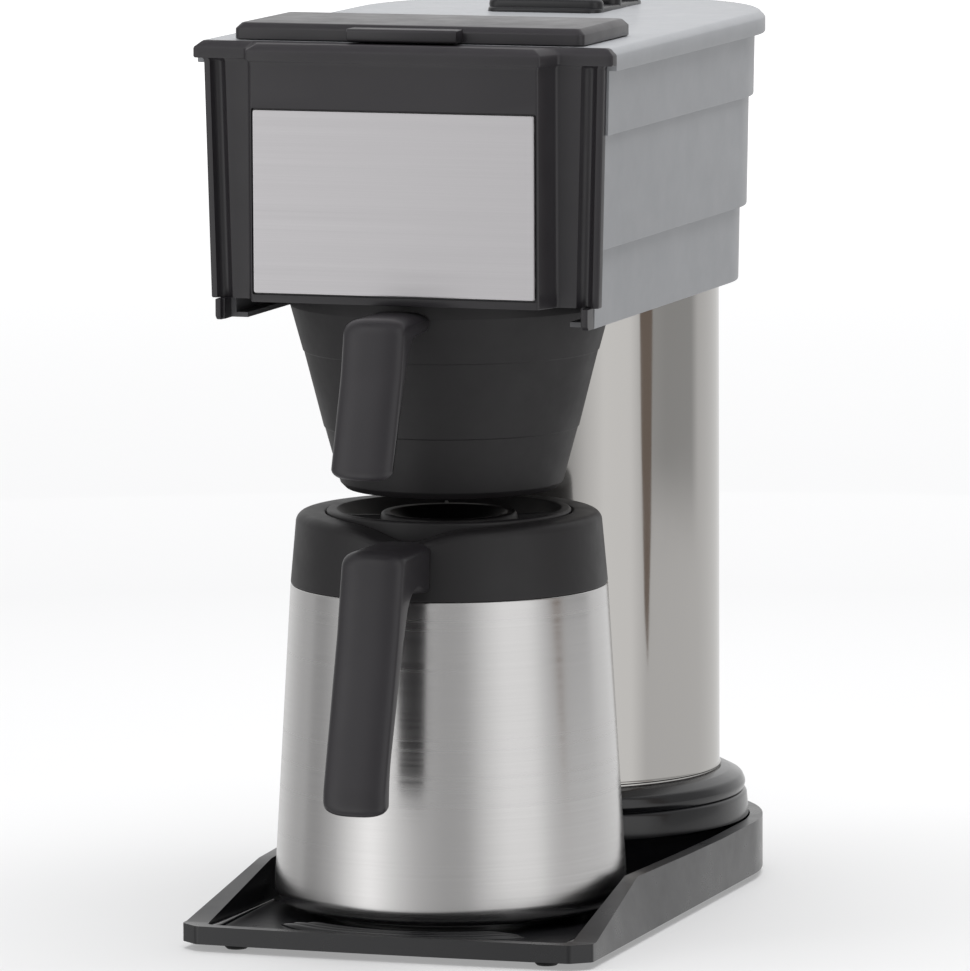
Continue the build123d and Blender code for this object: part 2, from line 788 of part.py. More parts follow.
with BuildPart() as reservoir:
    with BuildSketch(Plane.XY.offset(reservoir_z)):
        with Locations((0, (reservoir_y0 + reservoir_y1) / 2)):
            RectangleRounded(2 * reservoir_half, reservoir_depth, 14)
    extrude(amount=reservoir_height)
    fillet(reservoir.edges().group_by(Axis.Z)[0], radius=6)
    inner_half = reservoir_half - reservoir_wall
    with BuildSketch(Plane.XY.offset(reservoir_z + reservoir_wall)):
        with Locations((0, (reservoir_y0 + reservoir_y1) / 2)):
            RectangleRounded(2 * inner_half, reservoir_depth - 2 * reservoir_wall, 12)
    extrude(amount=reservoir_height, mode=Mode.SUBTRACT)
    with BuildSketch(Plane.XY.offset(reservoir_z - 1)):
        with Locations((valve_x, valve_y)):
            Circle(tube_bore)
    extrude(amount=reservoir_wall + 2, mode=Mode.SUBTRACT)
reservoir.part.label = "reservoir"
export_step(reservoir.part, "parts/reservoir.step")

valve_floor_z = reservoir_z + reservoir_wall
guide_radius = 11.0
guide_height = 22.0
pusher_tip_z = lid_z - pusher_drop
stem_top_z = pusher_tip_z - seat_gap
spring_seat_z = valve_floor_z + guide_height
spring_top_z = spring_seat_z + 20.0

with BuildPart() as valve_guide:
    with BuildSketch(Plane.XY.offset(valve_floor_z)):
        with Locations((valve_x, valve_y)):
            Circle(guide_radius)
            Circle(guide_radius - 2.0, mode=Mode.SUBTRACT)
    extrude(amount=guide_height - 2.0)
    with BuildSketch(Plane.XY.offset(valve_floor_z + guide_height - 2.0)):
        with Locations((valve_x, valve_y)):
            Circle(guide_radius)
            Circle(stem_radius + pin_gap, mode=Mode.SUBTRACT)
    extrude(amount=2.0)
    # windows that let the water in
    with Locations((valve_x, valve_y, valve_floor_z + 6.0)):
        Box(3 * guide_radius, 8.0, 9.0, mode=Mode.SUBTRACT)
        Box(8.0, 3 * guide_radius, 9.0, mode=Mode.SUBTRACT)
valve_guide.part.label = "valve_guide"
export_step(valve_guide.part, "parts/valve_guide.step")

with BuildPart() as valve_stem:
    with BuildSketch(Plane.XZ.offset(-valve_y)):
        shape(
            (valve_x, valve_floor_z + seat_gap),
            (valve_x + 7.0, valve_floor_z + seat_gap),
            (valve_x + 7.0, valve_floor_z + 2.5),
            (valve_x + stem_radius, valve_floor_z + 4.0),
            (valve_x + stem_radius, spring_top_z),
            (valve_x + 5.5, spring_top_z),
            (valve_x + 5.5, spring_top_z + 2.0),
            (valve_x + stem_radius, spring_top_z + 2.0),
            (valve_x + stem_radius, stem_top_z),
            (valve_x, stem_top_z),
        )
    revolve(axis=Axis((valve_x, valve_y, 0), (0, 0, 1)))
valve_stem.part.label = "valve_stem"
export_step(valve_stem.part, "parts/valve_stem.step")

spring_wire = 0.5
spring_radius = 4.0

with BuildPart() as valve_spring:
    with BuildLine():
        coil = Helix(
            pitch=(spring_top_z - spring_seat_z - 2 * spring_wire - 0.1) / 5,
            height=spring_top_z - spring_seat_z - 2 * spring_wire - 0.1,
            radius=spring_radius,
            center=(valve_x, valve_y, spring_seat_z + spring_wire + 0.05),
        )
    with BuildSketch(Plane(origin=coil @ 0, z_dir=coil % 0)):
        Circle(spring_wire)
    sweep(is_frenet=True)
valve_spring.part.label = "valve_spring"
export_step(valve_spring.part, "parts/valve_spring.step")

tube_z = (hood_floor_z + floor_plate + reservoir_z) / 2
bend = 7.0

with BuildPart() as fill_tube:
    with BuildLine() as fill_path:
        FilletPolyline(
            (valve_x, valve_y, reservoir_z),
            (valve_x, valve_y, tube_z),
            (valve_x, fill_drop_y, tube_z),
            (valve_x, fill_drop_y, tank_z + 12.0),
            radius=bend,
        )
    with BuildSketch(Plane(origin=(valve_x, valve_y, reservoir_z), z_dir=(0, 0, -1))):
        Circle(tube_radius)
        Circle(tube_bore, mode=Mode.SUBTRACT)
    sweep(path=fill_path.wire())
fill_tube.part.label = "fill_tube"
export_step(fill_tube.part, "parts/fill_tube.step")

with BuildPart() as spray_tube:
    with BuildLine() as spray_path:
        FilletPolyline(
            (0, spray_rise_y, tank_lid_z - 6.0),
            (0, spray_rise_y, tube_z),
            (0, funnel_y, tube_z),
            (0, funnel_y, hood_floor_z),
            radius=bend,
        )
    with BuildSketch(Plane(origin=(0, spray_rise_y, tank_lid_z - 6.0), z_dir=(0, 0, 1))):
        Circle(tube_radius)
        Circle(tube_bore, mode=Mode.SUBTRACT)
    sweep(path=spray_path.wire())
spray_tube.part.label = "spray_tube"
export_step(spray_tube.part, "parts/spray_tube.step")

with BuildPart() as spray_head:
    with BuildSketch(Plane.XY.offset(hood_floor_z - spray_height)):
        with Locations((0, funnel_y)):
            Circle(spray_radius)
    extrude(amount=spray_height)
    fillet(spray_head.edges().group_by(Axis.Z)[0], radius=2.0)
    with BuildSketch(Plane.XY.offset(hood_floor_z - spray_height + 1.5)):
        with Locations((0, funnel_y)):
            Circle(spray_radius - 2.0)
    extrude(amount=spray_height - 3.0, mode=Mode.SUBTRACT)
    with BuildSketch(Plane.XY.offset(hood_floor_z - spray_height)):
        with Locations((0, funnel_y)):
            with PolarLocations(20.0, 8):
                Circle(1.6)
            with PolarLocations(10.0, 4):
                Circle(1.6)
            Circle(1.6)
    extrude(amount=2.0, mode=Mode.SUBTRACT)
    with BuildSketch(Plane.XY.offset(hood_floor_z - 2.0)):
        with Locations((0, funnel_y)):
            Circle(tube_bore)
    extrude(amount=3.0, mode=Mode.SUBTRACT)
spray_head.part.label = "spray_head"
export_step(spray_head.part, "parts/spray_head.step")

# ================================================================ switch and cord gland
rocker_x = 5.0 - base_half
rocker_tilt = 8.0
rocker_height = switch_height - 4.8
pivot_radius = 1.2
pivot_reach = 1.2         # into the bezel, above and below

with BuildPart() as switch_bezel:
    with BuildSketch(Plane.YZ.offset(-base_half - 0.8)):
        with Locations((switch_y, switch_z)):
            RectangleRounded(switch_length + 3.0, switch_height + 3.0, 2.0)
            RectangleRounded(switch_length - 4.0, switch_height - 4.0, 1.0, mode=Mode.SUBTRACT)
    extrude(amount=0.8)
    with BuildSketch(Plane.YZ.offset(-base_half)):
        with Locations((switch_y, switch_z)):
            Rectangle(switch_length - 0.4, switch_height - 0.4)
            Rectangle(switch_length - 4.0, switch_height - 4.0, mode=Mode.SUBTRACT)
    extrude(amount=switch_pocket - 2.0)
    with BuildSketch(Plane.YZ.offset(-base_half + switch_pocket - 2.0)):
        with Locations((switch_y, switch_z)):
            Rectangle(switch_length - 0.4, switch_height - 0.4)
    extrude(amount=1.6)
    # holes for the rocker's pivot
    with Locations((rocker_x, switch_y, switch_z)):
        Cylinder(pivot_radius + pin_gap, switch_height - 1.0, mode=Mode.SUBTRACT)
switch_bezel.part.label = "switch_bezel"
export_step(switch_bezel.part, "parts/switch_bezel.step")

with BuildPart() as rocker_switch:
    # a shallow V in plan, pressed in at its front end
    with BuildSketch(Plane.XY.offset(switch_z - rocker_height / 2)):
        with BuildLine():
            arm = switch_length / 2 - 3.8
            rise = arm * sin(radians(rocker_tilt))
            face_x = rocker_x - 4.4
            edge_x = rocker_x - 3.0
            back_x = rocker_x + 4.0
            Polyline(
                (back_x, switch_y - 3.0),
                (edge_x + rise, switch_y - arm),
                (face_x + rise, switch_y - arm),
                (face_x, switch_y),
                (face_x - rise, switch_y + arm),
                (edge_x - rise, switch_y + arm),
                (back_x, switch_y + 3.0),
                close=True,
            )
        make_face()
    extrude(amount=rocker_height)
    # pivot
    pivot_length = switch_height - 4.0 + 2 * pivot_reach
    with Locations((rocker_x, switch_y, switch_z)):
        Cylinder(pivot_radius, pivot_length)
rocker_switch.part.label = "rocker_switch"
export_step(rocker_switch.part, "parts/rocker_switch.step")

gland_y0 = column_y + foot_ring_bore + 4.0
gland_y1 = column_y + base_half

with BuildPart() as cord_gland:
    with BuildSketch(Plane.XZ.offset(-gland_y0)):
        with Locations((0, gland_z)):
            Circle(gland_radius)
            Circle(gland_radius - 2.5, mode=Mode.SUBTRACT)
    extrude(amount=gland_y0 - gland_y1)
    with BuildSketch(Plane.XZ.offset(-gland_y1)):
        with Locations((0, gland_z)):
            Circle(gland_radius + 2.5)
            Circle(gland_radius - 2.5, mode=Mode.SUBTRACT)
    extrude(amount=-1.3)
cord_gland.part.label = "cord_gland"
export_step(cord_gland.part, "parts/cord_gland.step")

# ================================================================ fill lid
with BuildPart() as fill_lid:
    with BuildSketch(Plane.XY.offset(lid_z)):
        with Locations((0, (lid_y0 + lid_y1) / 2)):
            Rectangle(2 * lid_half_width, lid_depth)
    extrude(amount=height - lid_z)
    fillet(fill_lid.edges().filter_by(Axis.Z), radius=lid_chamfer + 0.8)
    chamfer(fill_lid.edges().group_by(Axis.Z)[-1], length=lid_chamfer)
    # finger tab over the fascia's rim
    with BuildSketch(Plane.XY.offset(lid_z)):
        with Locations((0, lid_y0 - tab_reach / 2 + 2)):
            Rectangle(2 * tab_half_width, tab_reach + 4)
    extrude(amount=height - lid_z - 0.8)
    # hollow underside
    with BuildSketch(Plane.XY.offset(lid_z)):
        with Locations((0, (lid_y0 + lid_y1) / 2)):
            RectangleRounded(2 * (lid_half_width - wall), lid_depth - 2 * wall, 1.0)
    extrude(amount=height - lid_z - wall - 1.0, mode=Mode.SUBTRACT)
    # pusher that holds the valve down while the lid is shut
    with BuildSketch(Plane.XY.offset(pusher_tip_z)):
        with Locations((valve_x, valve_y)):
            Circle(pusher_radius)
    extrude(amount=height - wall - pusher_tip_z)
    # hinge knuckles
    for side in (-1, 1):
        with BuildSketch(Plane.YZ.offset(side * knuckle_x - knuckle_width / 2)):
            with Locations((hinge_y, hinge_z)):
                Circle(hinge_knuckle_radius)
            with Locations(((lid_y1 + hinge_y) / 2 - 1, hinge_z + 0.5)):
                Rectangle(hinge_y - lid_y1 + 2, 2 * hinge_knuckle_radius - 1.0)
        extrude(amount=knuckle_width)
    with BuildSketch(Plane.YZ):
        with Locations((hinge_y, hinge_z)):
            Circle(hinge_pin_radius + pin_gap)
    extrude(amount=lid_half_width, both=True, mode=Mode.SUBTRACT)
fill_lid.part.label = "fill_lid"
export_step(fill_lid.part, "parts/fill_lid.step")

# ================================================================ brew funnel
flange_z = hood_z + 0.4 + rail_ledge + seat_gap
funnel_z = flange_z - funnel_height + flange_height
funnel_top_z = flange_z + flange_height
flange_half = floor_half - 3.0 - seat_gap
cone_lean = (funnel_top_radius - funnel_bottom_radius) / (flange_z - funnel_z)

with BuildPart() as brew_funnel:
    with BuildSketch(upright_plane(funnel_y)):
        with BuildLine():
            step_low = funnel_z + 0.31 * funnel_height
            step_high = funnel_z + 0.70 * funnel_height
            r_low = funnel_bottom_radius + cone_lean * (step_low - funnel_z)
            r_high = funnel_bottom_radius + cone_lean * (step_high - funnel_z)
            Polyline(
                (0, funnel_z),
                (funnel_bottom_radius - 4.0, funnel_z),
                (funnel_bottom_radius - 1.2, funnel_z + 1.2),
                (funnel_bottom_radius, funnel_z + 4.0),
                (r_low - 0.4, step_low),
                (r_low, step_low + 0.4),
                (r_high - 0.4, step_high),
                (r_high, step_high + 0.4),
                (funnel_top_radius, flange_z),
                (funnel_top_radius, funnel_top_z),
                (0, funnel_top_z),
                close=True,
            )
        make_face()
    revolve(axis=upright_axis(funnel_y))
    # flange that runs on the rails, cut short at the rear
    flange_front = funnel_y - funnel_top_radius
    flange_rear = funnel_y + funnel_top_radius - 2.0
    with BuildSketch(Plane.XY.offset(flange_z)):
        with Locations((0, (flange_front + flange_rear) / 2)):
            RectangleRounded(2 * flange_half, flange_rear - flange_front, 18)
    extrude(amount=flange_height)
    # the basket's inside
    with BuildSketch(upright_plane(funnel_y)):
        shape(
            (0, funnel_z + funnel_floor_wall),
            (funnel_bottom_radius - wall - 3.0, funnel_z + funnel_floor_wall + 1.0),
            (funnel_bottom_radius - wall, funnel_z + funnel_floor_wall + 5.0),
            (funnel_top_radius - wall, flange_z),
            (funnel_top_radius - wall, funnel_top_z + 1.0),
            (0, funnel_top_z + 1.0),
        )
    revolve(axis=upright_axis(funnel_y), mode=Mode.SUBTRACT)
    # drip nozzle
    with BuildSketch(Plane.XY.offset(funnel_z - nozzle_length)):
        with Locations((0, funnel_y)):
            Circle(2 * drip_radius)
    extrude(amount=nozzle_length + 1.0)
    with BuildSketch(Plane.XY.offset(funnel_z - nozzle_length - 1)):
        with Locations((0, funnel_y)):
            Circle(drip_radius)
    extrude(amount=nozzle_length + funnel_floor_wall + 4, mode=Mode.SUBTRACT)
brew_funnel.part.label = "brew_funnel"
export_step(brew_funnel.part, "parts/brew_funnel.step")

with BuildPart() as funnel_handle:
    # a flat arm that turns down into a free-ended grip
    grip_front = funnel_y - funnel_handle_reach
    grip_top_z = funnel_top_z + 0.6
    grip_low_z = grip_top_z - funnel_handle_height
    arm_root = funnel_y - funnel_top_radius - 0.1
    low_front = grip_front - funnel_handle_lean
    with BuildSketch(Plane.YZ):
        with BuildLine():
            Line((arm_root, grip_top_z), (grip_front + 6.0, grip_top_z))
            ThreePointArc(
                (grip_front + 6.0, grip_top_z),
                (grip_front + 1.2, grip_top_z - 1.8),
                (grip_front - 1.4, grip_top_z - 6.0),
            )
            ThreePointArc(
                (grip_front - 1.4, grip_top_z - 6.0),
                (grip_front - 12.6, grip_top_z - 30.0),
                (low_front, grip_low_z + 5.0),
            )
            ThreePointArc(
                (low_front, grip_low_z + 5.0),
                (low_front + 1.46, grip_low_z + 1.46),
                (low_front + 5.0, grip_low_z),
            )
            Line((low_front + 5.0, grip_low_z), (low_front + funnel_handle_wall, grip_low_z + 3.0))
            ThreePointArc(
                (low_front + funnel_handle_wall, grip_low_z + 3.0),
                (grip_front - 1.4, grip_top_z - 32.0),
                (grip_front + 14.0, grip_top_z - 12.0),
            )
            Line((grip_front + 14.0, grip_top_z - 12.0), (arm_root, grip_top_z - 10.0))
            Line((arm_root, grip_top_z - 10.0), (arm_root, grip_top_z))
        make_face()
    extrude(amount=funnel_handle_half_width, both=True)
    # the arm's root follows the basket
    with Locations((0, funnel_y, grip_top_z - 6.0)):
        Cylinder(funnel_top_radius + pin_gap, 20.0, mode=Mode.SUBTRACT)
funnel_handle.part.label = "funnel_handle"
export_step(funnel_handle.part, "parts/funnel_handle.step")

# ================================================================ carafe
steel_top_z = carafe_z + carafe_height
belly_z = carafe_z + carafe_foot_radius

with BuildPart() as carafe_shell:
    with BuildSketch(upright_plane(carafe_y)):
        with BuildLine():
            foot_in = carafe_max_radius - carafe_foot_radius
            bend_out = carafe_foot_radius * sin(radians(45))
            Line((foot_in - 6.0, carafe_z), (foot_in, carafe_z))
            ThreePointArc(
                (foot_in, carafe_z),
                (foot_in + bend_out, belly_z - bend_out),
                (carafe_max_radius, belly_z),
            )
            Line((carafe_max_radius, belly_z), (carafe_top_radius, steel_top_z))
            Line((carafe_top_radius, steel_top_z), (neck_radius + carafe_wall, steel_top_z))
            neck_out = neck_radius + carafe_wall
            shoulder_z = steel_top_z - carafe_wall
            Line((neck_out, steel_top_z), (neck_out, shoulder_z))
            Line((neck_out, shoulder_z), (carafe_top_radius - carafe_wall, shoulder_z))
            Line(
                (carafe_top_radius - carafe_wall, shoulder_z),
                (carafe_max_radius - carafe_wall, belly_z),
            )
            bend_in = (carafe_foot_radius - carafe_wall) * sin(radians(45))
            ThreePointArc(
                (carafe_max_radius - carafe_wall, belly_z),
                (foot_in + bend_in, belly_z - bend_in),
                (foot_in, carafe_z + carafe_wall),
            )
            Line((foot_in, carafe_z + carafe_wall), (foot_in - 6.0, carafe_z + carafe_wall))
            Line((foot_in - 6.0, carafe_z + carafe_wall), (foot_in - 6.0, carafe_z))
        make_face()
    revolve(axis=upright_axis(carafe_y))
carafe_shell.part.label = "carafe_shell"
export_step(carafe_shell.part, "parts/carafe_shell.step")

with BuildPart() as carafe_base:
    with BuildSketch(Plane.XY.offset(carafe_z)):
        with Locations((0, carafe_y)):
            Circle(carafe_max_radius - carafe_foot_radius - 6.0)
    extrude(amount=3.0)
    with BuildSketch(Plane.XY.offset(carafe_z + carafe_wall)):
        with Locations((0, carafe_y)):
            Circle(carafe_max_radius - carafe_foot_radius - 2.0)
    extrude(amount=3.0 - carafe_wall)
carafe_base.part.label = "carafe_base"
export_step(carafe_base.part, "parts/carafe_base.step")

liner_z = carafe_z + 3.0
liner_top_z = steel_top_z

with BuildPart() as carafe_liner:
    with BuildSketch(upright_plane(carafe_y)):
        with BuildLine():
            belly = carafe_max_radius - liner_gap
            chest = carafe_top_radius - liner_gap
            thin = carafe_wall
            Polyline(
                (0, liner_z),
                (belly - 9.0, liner_z),
                (belly - 1.0, liner_z + 8.0),
                (chest, liner_top_z - 16.0),
                (chest - 3.0, liner_top_z - 9.0),
                (neck_radius, liner_top_z - 4.0),
                (neck_radius, liner_top_z),
                (neck_radius - thin, liner_top_z),
                (neck_radius - thin, liner_top_z - 4.5),
                (chest - 3.0 - thin, liner_top_z - 9.6),
                (chest - thin, liner_top_z - 16.2),
                (belly - 1.0 - thin, liner_z + 8.4),
                (belly - 9.4, liner_z + thin),
                (0, liner_z + thin),
                close=True,
            )
        make_face()
    revolve(axis=upright_axis(carafe_y))
carafe_liner.part.label = "carafe_liner"
export_step(carafe_liner.part, "parts/carafe_liner.step")

collar_z = steel_top_z
collar_edge_z = collar_z + collar_body_height
collar_crown_z = collar_edge_z + collar_crown
lid_floor_z = collar_crown_z - lid_seat_depth
handle_screw_z = lid_floor_z + 5.0
handle_screw_radius = 1.6
handle_screw_length = 17.0

with BuildPart() as carafe_collar:
    with BuildSketch(upright_plane(carafe_y)):
        with BuildLine():
            Line((neck_radius + 1.0, collar_z), (carafe_top_radius, collar_z))
            Line((carafe_top_radius, collar_z), (collar_top_radius, collar_edge_z))
            ThreePointArc(
                (collar_top_radius, collar_edge_z),
                (collar_top_radius - 1.4, collar_crown_z - 1.0),
                (collar_top_radius - 5.0, collar_crown_z),
            )
            Line((collar_top_radius - 5.0, collar_crown_z), (lid_seat_radius + 1.0, collar_crown_z))
            Line((lid_seat_radius + 1.0, collar_crown_z), (lid_seat_radius, collar_crown_z - 1.0))
            Line((lid_seat_radius, collar_crown_z - 1.0), (lid_seat_radius, lid_floor_z))
            Line((lid_seat_radius, lid_floor_z), (neck_radius + 1.0, lid_floor_z))
            Line((neck_radius + 1.0, lid_floor_z), (neck_radius + 1.0, collar_z))
        make_face()
    revolve(axis=upright_axis(carafe_y))
    # pouring lip opposite the handle
    with BuildSketch(Plane.YZ):
        lip_y = carafe_y + collar_top_radius
        shape(
            (lip_y - 9.0, collar_crown_z - 2.0),
            (lip_y - 1.5, collar_crown_z - 4.0),
            (lip_y + 2.5, collar_crown_z + spout_height),
            (lip_y - 0.5, collar_crown_z + spout_height),
            (lip_y - 8.0, collar_crown_z),
        )
    extrude(amount=spout_half_width, both=True)
    # channel that runs from the lid to the handle
    with Locations((0, carafe_y - collar_top_radius, collar_crown_z + 1.0)):
        Cylinder(6.0, 30.0, rotation=(90, 0, 0), mode=Mode.SUBTRACT)
    # screw hole with a sunk seat for its head
    with Locations((0, carafe_y - lid_seat_radius - 7.0, handle_screw_z)):
        Cylinder(handle_screw_radius + pin_gap, 20.0, rotation=(90, 0, 0), mode=Mode.SUBTRACT)
    with Locations((0, carafe_y - lid_seat_radius + 2.6, handle_screw_z)):
        Cylinder(2 * handle_screw_radius + 0.2, 10.0, rotation=(90, 0, 0), mode=Mode.SUBTRACT)
carafe_collar.part.label = "carafe_collar"
export_step(carafe_collar.part, "parts/carafe_collar.step")

with BuildPart() as carafe_handle:
    handle_y = carafe_y - handle_reach
    arm_top_z = collar_edge_z - 0.5
    grip_end_z = arm_top_z - grip_drop
    grip_root = carafe_y - collar_top_radius + 6.0
    upper_front = handle_y + grip_lean + 4.0
    with BuildSketch(Plane.YZ):
        with BuildLine():
            Line((grip_root, arm_top_z), (upper_front + 6.0, arm_top_z))
            ThreePointArc(
                (upper_front + 6.0, arm_top_z),
                (upper_front + 1.0, arm_top_z - 2.0),
                (upper_front - 1.6, arm_top_z - 7.0),
            )
            ThreePointArc(
                (upper_front - 1.6, arm_top_z - 7.0),
                (handle_y + 6.6, arm_top_z - 0.55 * grip_drop),
                (handle_y, grip_end_z + 7.0),
            )
            ThreePointArc(
                (handle_y, grip_end_z + 7.0),
                (handle_y + 2.05, grip_end_z + 2.05),
                (handle_y + 7.0, grip_end_z),
            )
            Line((handle_y + 7.0, grip_end_z), (handle_y + grip_wall, grip_end_z + 4.0))
            ThreePointArc(
                (handle_y + grip_wall, grip_end_z + 4.0),
                (handle_y + grip_wall + 5.6, arm_top_z - 0.55 * grip_drop),
                (upper_front + 14.0, arm_top_z - 20.0),
            )
            Line((upper_front + 14.0, arm_top_z - 20.0), (grip_root, arm_top_z - 22.0))
            Line((grip_root, arm_top_z - 22.0), (grip_root, arm_top_z))
        make_face()
    extrude(amount=grip_half_width, both=True)
    # the arm's root follows the collar
    with BuildSketch(upright_plane(carafe_y)):
        shape(
            (0, collar_z - 1.0),
            (carafe_top_radius + 0.2, collar_z - 1.0),
            (carafe_top_radius + 0.2, collar_z),
            (collar_top_radius + 0.2, collar_edge_z),
            (collar_top_radius + 0.2, collar_crown_z + 2.0),
            (0, collar_crown_z + 2.0),
        )
    revolve(axis=upright_axis(carafe_y), mode=Mode.SUBTRACT)
    with Locations((0, carafe_y - lid_seat_radius - 12.0, handle_screw_z)):
        Cylinder(handle_screw_radius + pin_gap, 16.0, rotation=(90, 0, 0), mode=Mode.SUBTRACT)
carafe_handle.part.label = "carafe_handle"
export_step(carafe_handle.part, "parts/carafe_handle.step")

with BuildPart() as handle_screw:
    # its head is sunk in the lid seat's wall, its shank runs into the handle's root
    with BuildSketch(Plane.XZ.offset(lid_seat_radius + 0.6 - carafe_y)):
        with Locations((0, handle_screw_z)):
            Circle(handle_screw_radius * 2)
    extrude(amount=1.8)
    with BuildSketch(Plane.XZ.offset(lid_seat_radius + 2.4 - carafe_y)):
        with Locations((0, handle_screw_z)):
            Circle(handle_screw_radius)
    extrude(amount=handle_screw_length)
handle_screw.part.label = "handle_screw"
export_step(handle_screw.part, "parts/handle_screw.step")

seat_radius = lid_seat_radius - seat_gap
lid_ring_z = collar_crown_z + lid_ring_height
lid_base_z = lid_floor_z + seat_gap

with BuildPart() as carafe_lid:
    with BuildSketch(upright_plane(carafe_y)):
        shape(
            (8.0, lid_base_z - 6.0),
            (neck_radius - 5.0, lid_base_z - 6.0),
            (neck_radius - 5.0, lid_base_z),
            (seat_radius, lid_base_z),
            (seat_radius, lid_ring_z - 1.0),
            (seat_radius - 1.0, lid_ring_z),
            (seat_radius - 3.5, lid_ring_z),
            (seat_radius - 4.5, lid_ring_z - 1.0),
            (34.0, lid_ring_z - 8.5),
            (30.0, lid_ring_z - 8.5),
            (27.4, lid_ring_z - 2.4),
            (26.2, lid_ring_z - 1.4),
            (24.8, lid_ring_z - 1.6),
            (12.0, lid_ring_z - 10.5),
            (8.0, lid_ring_z - 11.0),
        )
    revolve(axis=upright_axis(carafe_y))
    # ribs across the dish, to turn the lid by
    with Locations((0, carafe_y, lid_ring_z - 6.0)):
        with PolarLocations(36.0, 4, start_angle=20):
            Box(18.0, 2.0, 8.0)
carafe_lid.part.label = "carafe_lid"
export_step(carafe_lid.part, "parts/carafe_lid.step")

with BuildPart() as carafe_lid_seal:
    with BuildSketch(upright_plane(carafe_y)):
        with Locations(((neck_radius - 5.0) + 2.0, lid_base_z - 3.0)):
            Rectangle(4.0, 2.4)
    revolve(axis=upright_axis(carafe_y))
carafe_lid_seal.part.label = "carafe_lid_seal"
export_step(carafe_lid_seal.part, "parts/carafe_lid_seal.step")
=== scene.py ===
from math import cos, exp, hypot, pi, radians, sin, sqrt, tan

import bmesh
import bpy
from mathutils import Matrix, Vector


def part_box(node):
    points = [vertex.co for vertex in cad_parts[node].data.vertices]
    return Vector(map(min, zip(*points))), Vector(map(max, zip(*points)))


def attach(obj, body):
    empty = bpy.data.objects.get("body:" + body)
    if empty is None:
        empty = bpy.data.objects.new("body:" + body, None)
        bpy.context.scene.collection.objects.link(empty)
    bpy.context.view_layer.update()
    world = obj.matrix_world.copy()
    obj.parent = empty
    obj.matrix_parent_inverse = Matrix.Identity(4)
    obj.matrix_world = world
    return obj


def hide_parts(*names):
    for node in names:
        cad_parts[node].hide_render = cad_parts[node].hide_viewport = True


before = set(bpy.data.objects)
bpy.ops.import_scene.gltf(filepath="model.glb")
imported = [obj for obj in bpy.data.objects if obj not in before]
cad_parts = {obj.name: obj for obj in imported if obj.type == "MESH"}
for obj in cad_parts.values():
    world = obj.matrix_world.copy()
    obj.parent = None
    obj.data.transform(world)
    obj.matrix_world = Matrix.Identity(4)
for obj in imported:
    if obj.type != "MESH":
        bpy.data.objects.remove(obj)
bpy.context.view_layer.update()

bl_info = {
    "name": "Drip coffee maker looks",
    "version": (1, 0, 0),
    "blender": (4, 5, 0),
    "location": "3D View > Sidebar > Brewer",
    "description": "Builds the visible pieces, finishes and studio of a drip coffee maker",
    "category": "Object",
}

MM = 0.001                # shapes are worked out in millimetres
SMOOTH = 38               # degrees between faces: a sharper edge stays crisp


# ---------------------------------------------------------------- places taken from the frame
def span(node):
    """A CAD node's lowest and highest corners, in millimetres."""
    low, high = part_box(node)
    return low / MM, high / MM


base_low, base_high = span("tray_base")
ring_low, ring_high = span("column_foot")
collar_low, collar_high = span("column_collar")
column_low, column_high = span("column_skin")
hood_low, hood_high = span("hood_shell")
fascia_low, fascia_high = span("fascia")
plate_low, plate_high = span("badge_plate")
lid_low, lid_high = span("fill_lid")
vent_low, vent_high = span("steam_vent")
funnel_low, funnel_high = span("brew_funnel")
funnel_grip_low, funnel_grip_high = span("funnel_handle")
carafe_low, carafe_high = span("carafe_shell")
rim_low, rim_high = span("carafe_collar")
grip_low, grip_high = span("carafe_handle")
stopper_low, stopper_high = span("carafe_lid")

column_y = (column_low.y + column_high.y) / 2
column_radius = (column_high.x - column_low.x) / 2
carafe_y = (carafe_low.y + carafe_high.y) / 2
carafe_radius = (carafe_high.x - carafe_low.x) / 2
spray_low, spray_high = span("spray_head")
funnel_y = (spray_low.y + spray_high.y) / 2
base_half = base_high.x
rings_sunk = 3.2
collar_low_z = collar_low.z - rings_sunk
collar_top_z = collar_high.z - rings_sunk     # the tube shows from here up
lip_half = hood_high.x


# ---------------------------------------------------------------- outlines
def rounded(points, radii, closed=True, steps=6):
    """An outline's points, with each corner turned into an arc of its radius."""
    out = []
    count = len(points)
    for i, (point, radius) in enumerate(zip(points, radii)):
        here = Vector(point)
        at_end = not closed and i in (0, count - 1)
        before = Vector(points[i - 1]) - here
        after = Vector(points[(i + 1) % count]) - here
        if radius <= 0 or at_end or before.length < 1e-6 or after.length < 1e-6:
            out.append(tuple(here))
            continue
        before.normalize()
        after.normalize()
        half_angle = before.angle(after) / 2
        if abs(half_angle - pi / 2) < 1e-3:
            out.append(tuple(here))
            continue
        back = radius / tan(half_angle)
        centre = here + (before + after).normalized() * (radius / sin(half_angle))
        start = here + before * back - centre
        end = here + after * back - centre
        turn = start.angle_signed(end)
        for step in range(steps + 1):
            angle = -turn * step / steps
            out.append((
                centre.x + start.x * cos(angle) - start.y * sin(angle),
                centre.y + start.x * sin(angle) + start.y * cos(angle),
            ))
    return out


def arc(centre, radius, start, end, steps):
    """Points on an arc, with angles in degrees."""
    turn = [radians(start + (end - start) * i / steps) for i in range(steps + 1)]
    return [(centre[0] + radius * cos(a), centre[1] + radius * sin(a)) for a in turn]


def circle(radius, count):
    """Points round a circle about the origin."""
    turn = [2 * pi * i / count for i in range(count)]
    return [(radius * cos(a), radius * sin(a)) for a in turn]


def rectangle(low_a, low_b, high_a, high_b):
    """A rectangle's corners, from its two low and its two high sides."""
    return [(low_a, low_b), (high_a, low_b), (high_a, high_b), (low_a, high_b)]


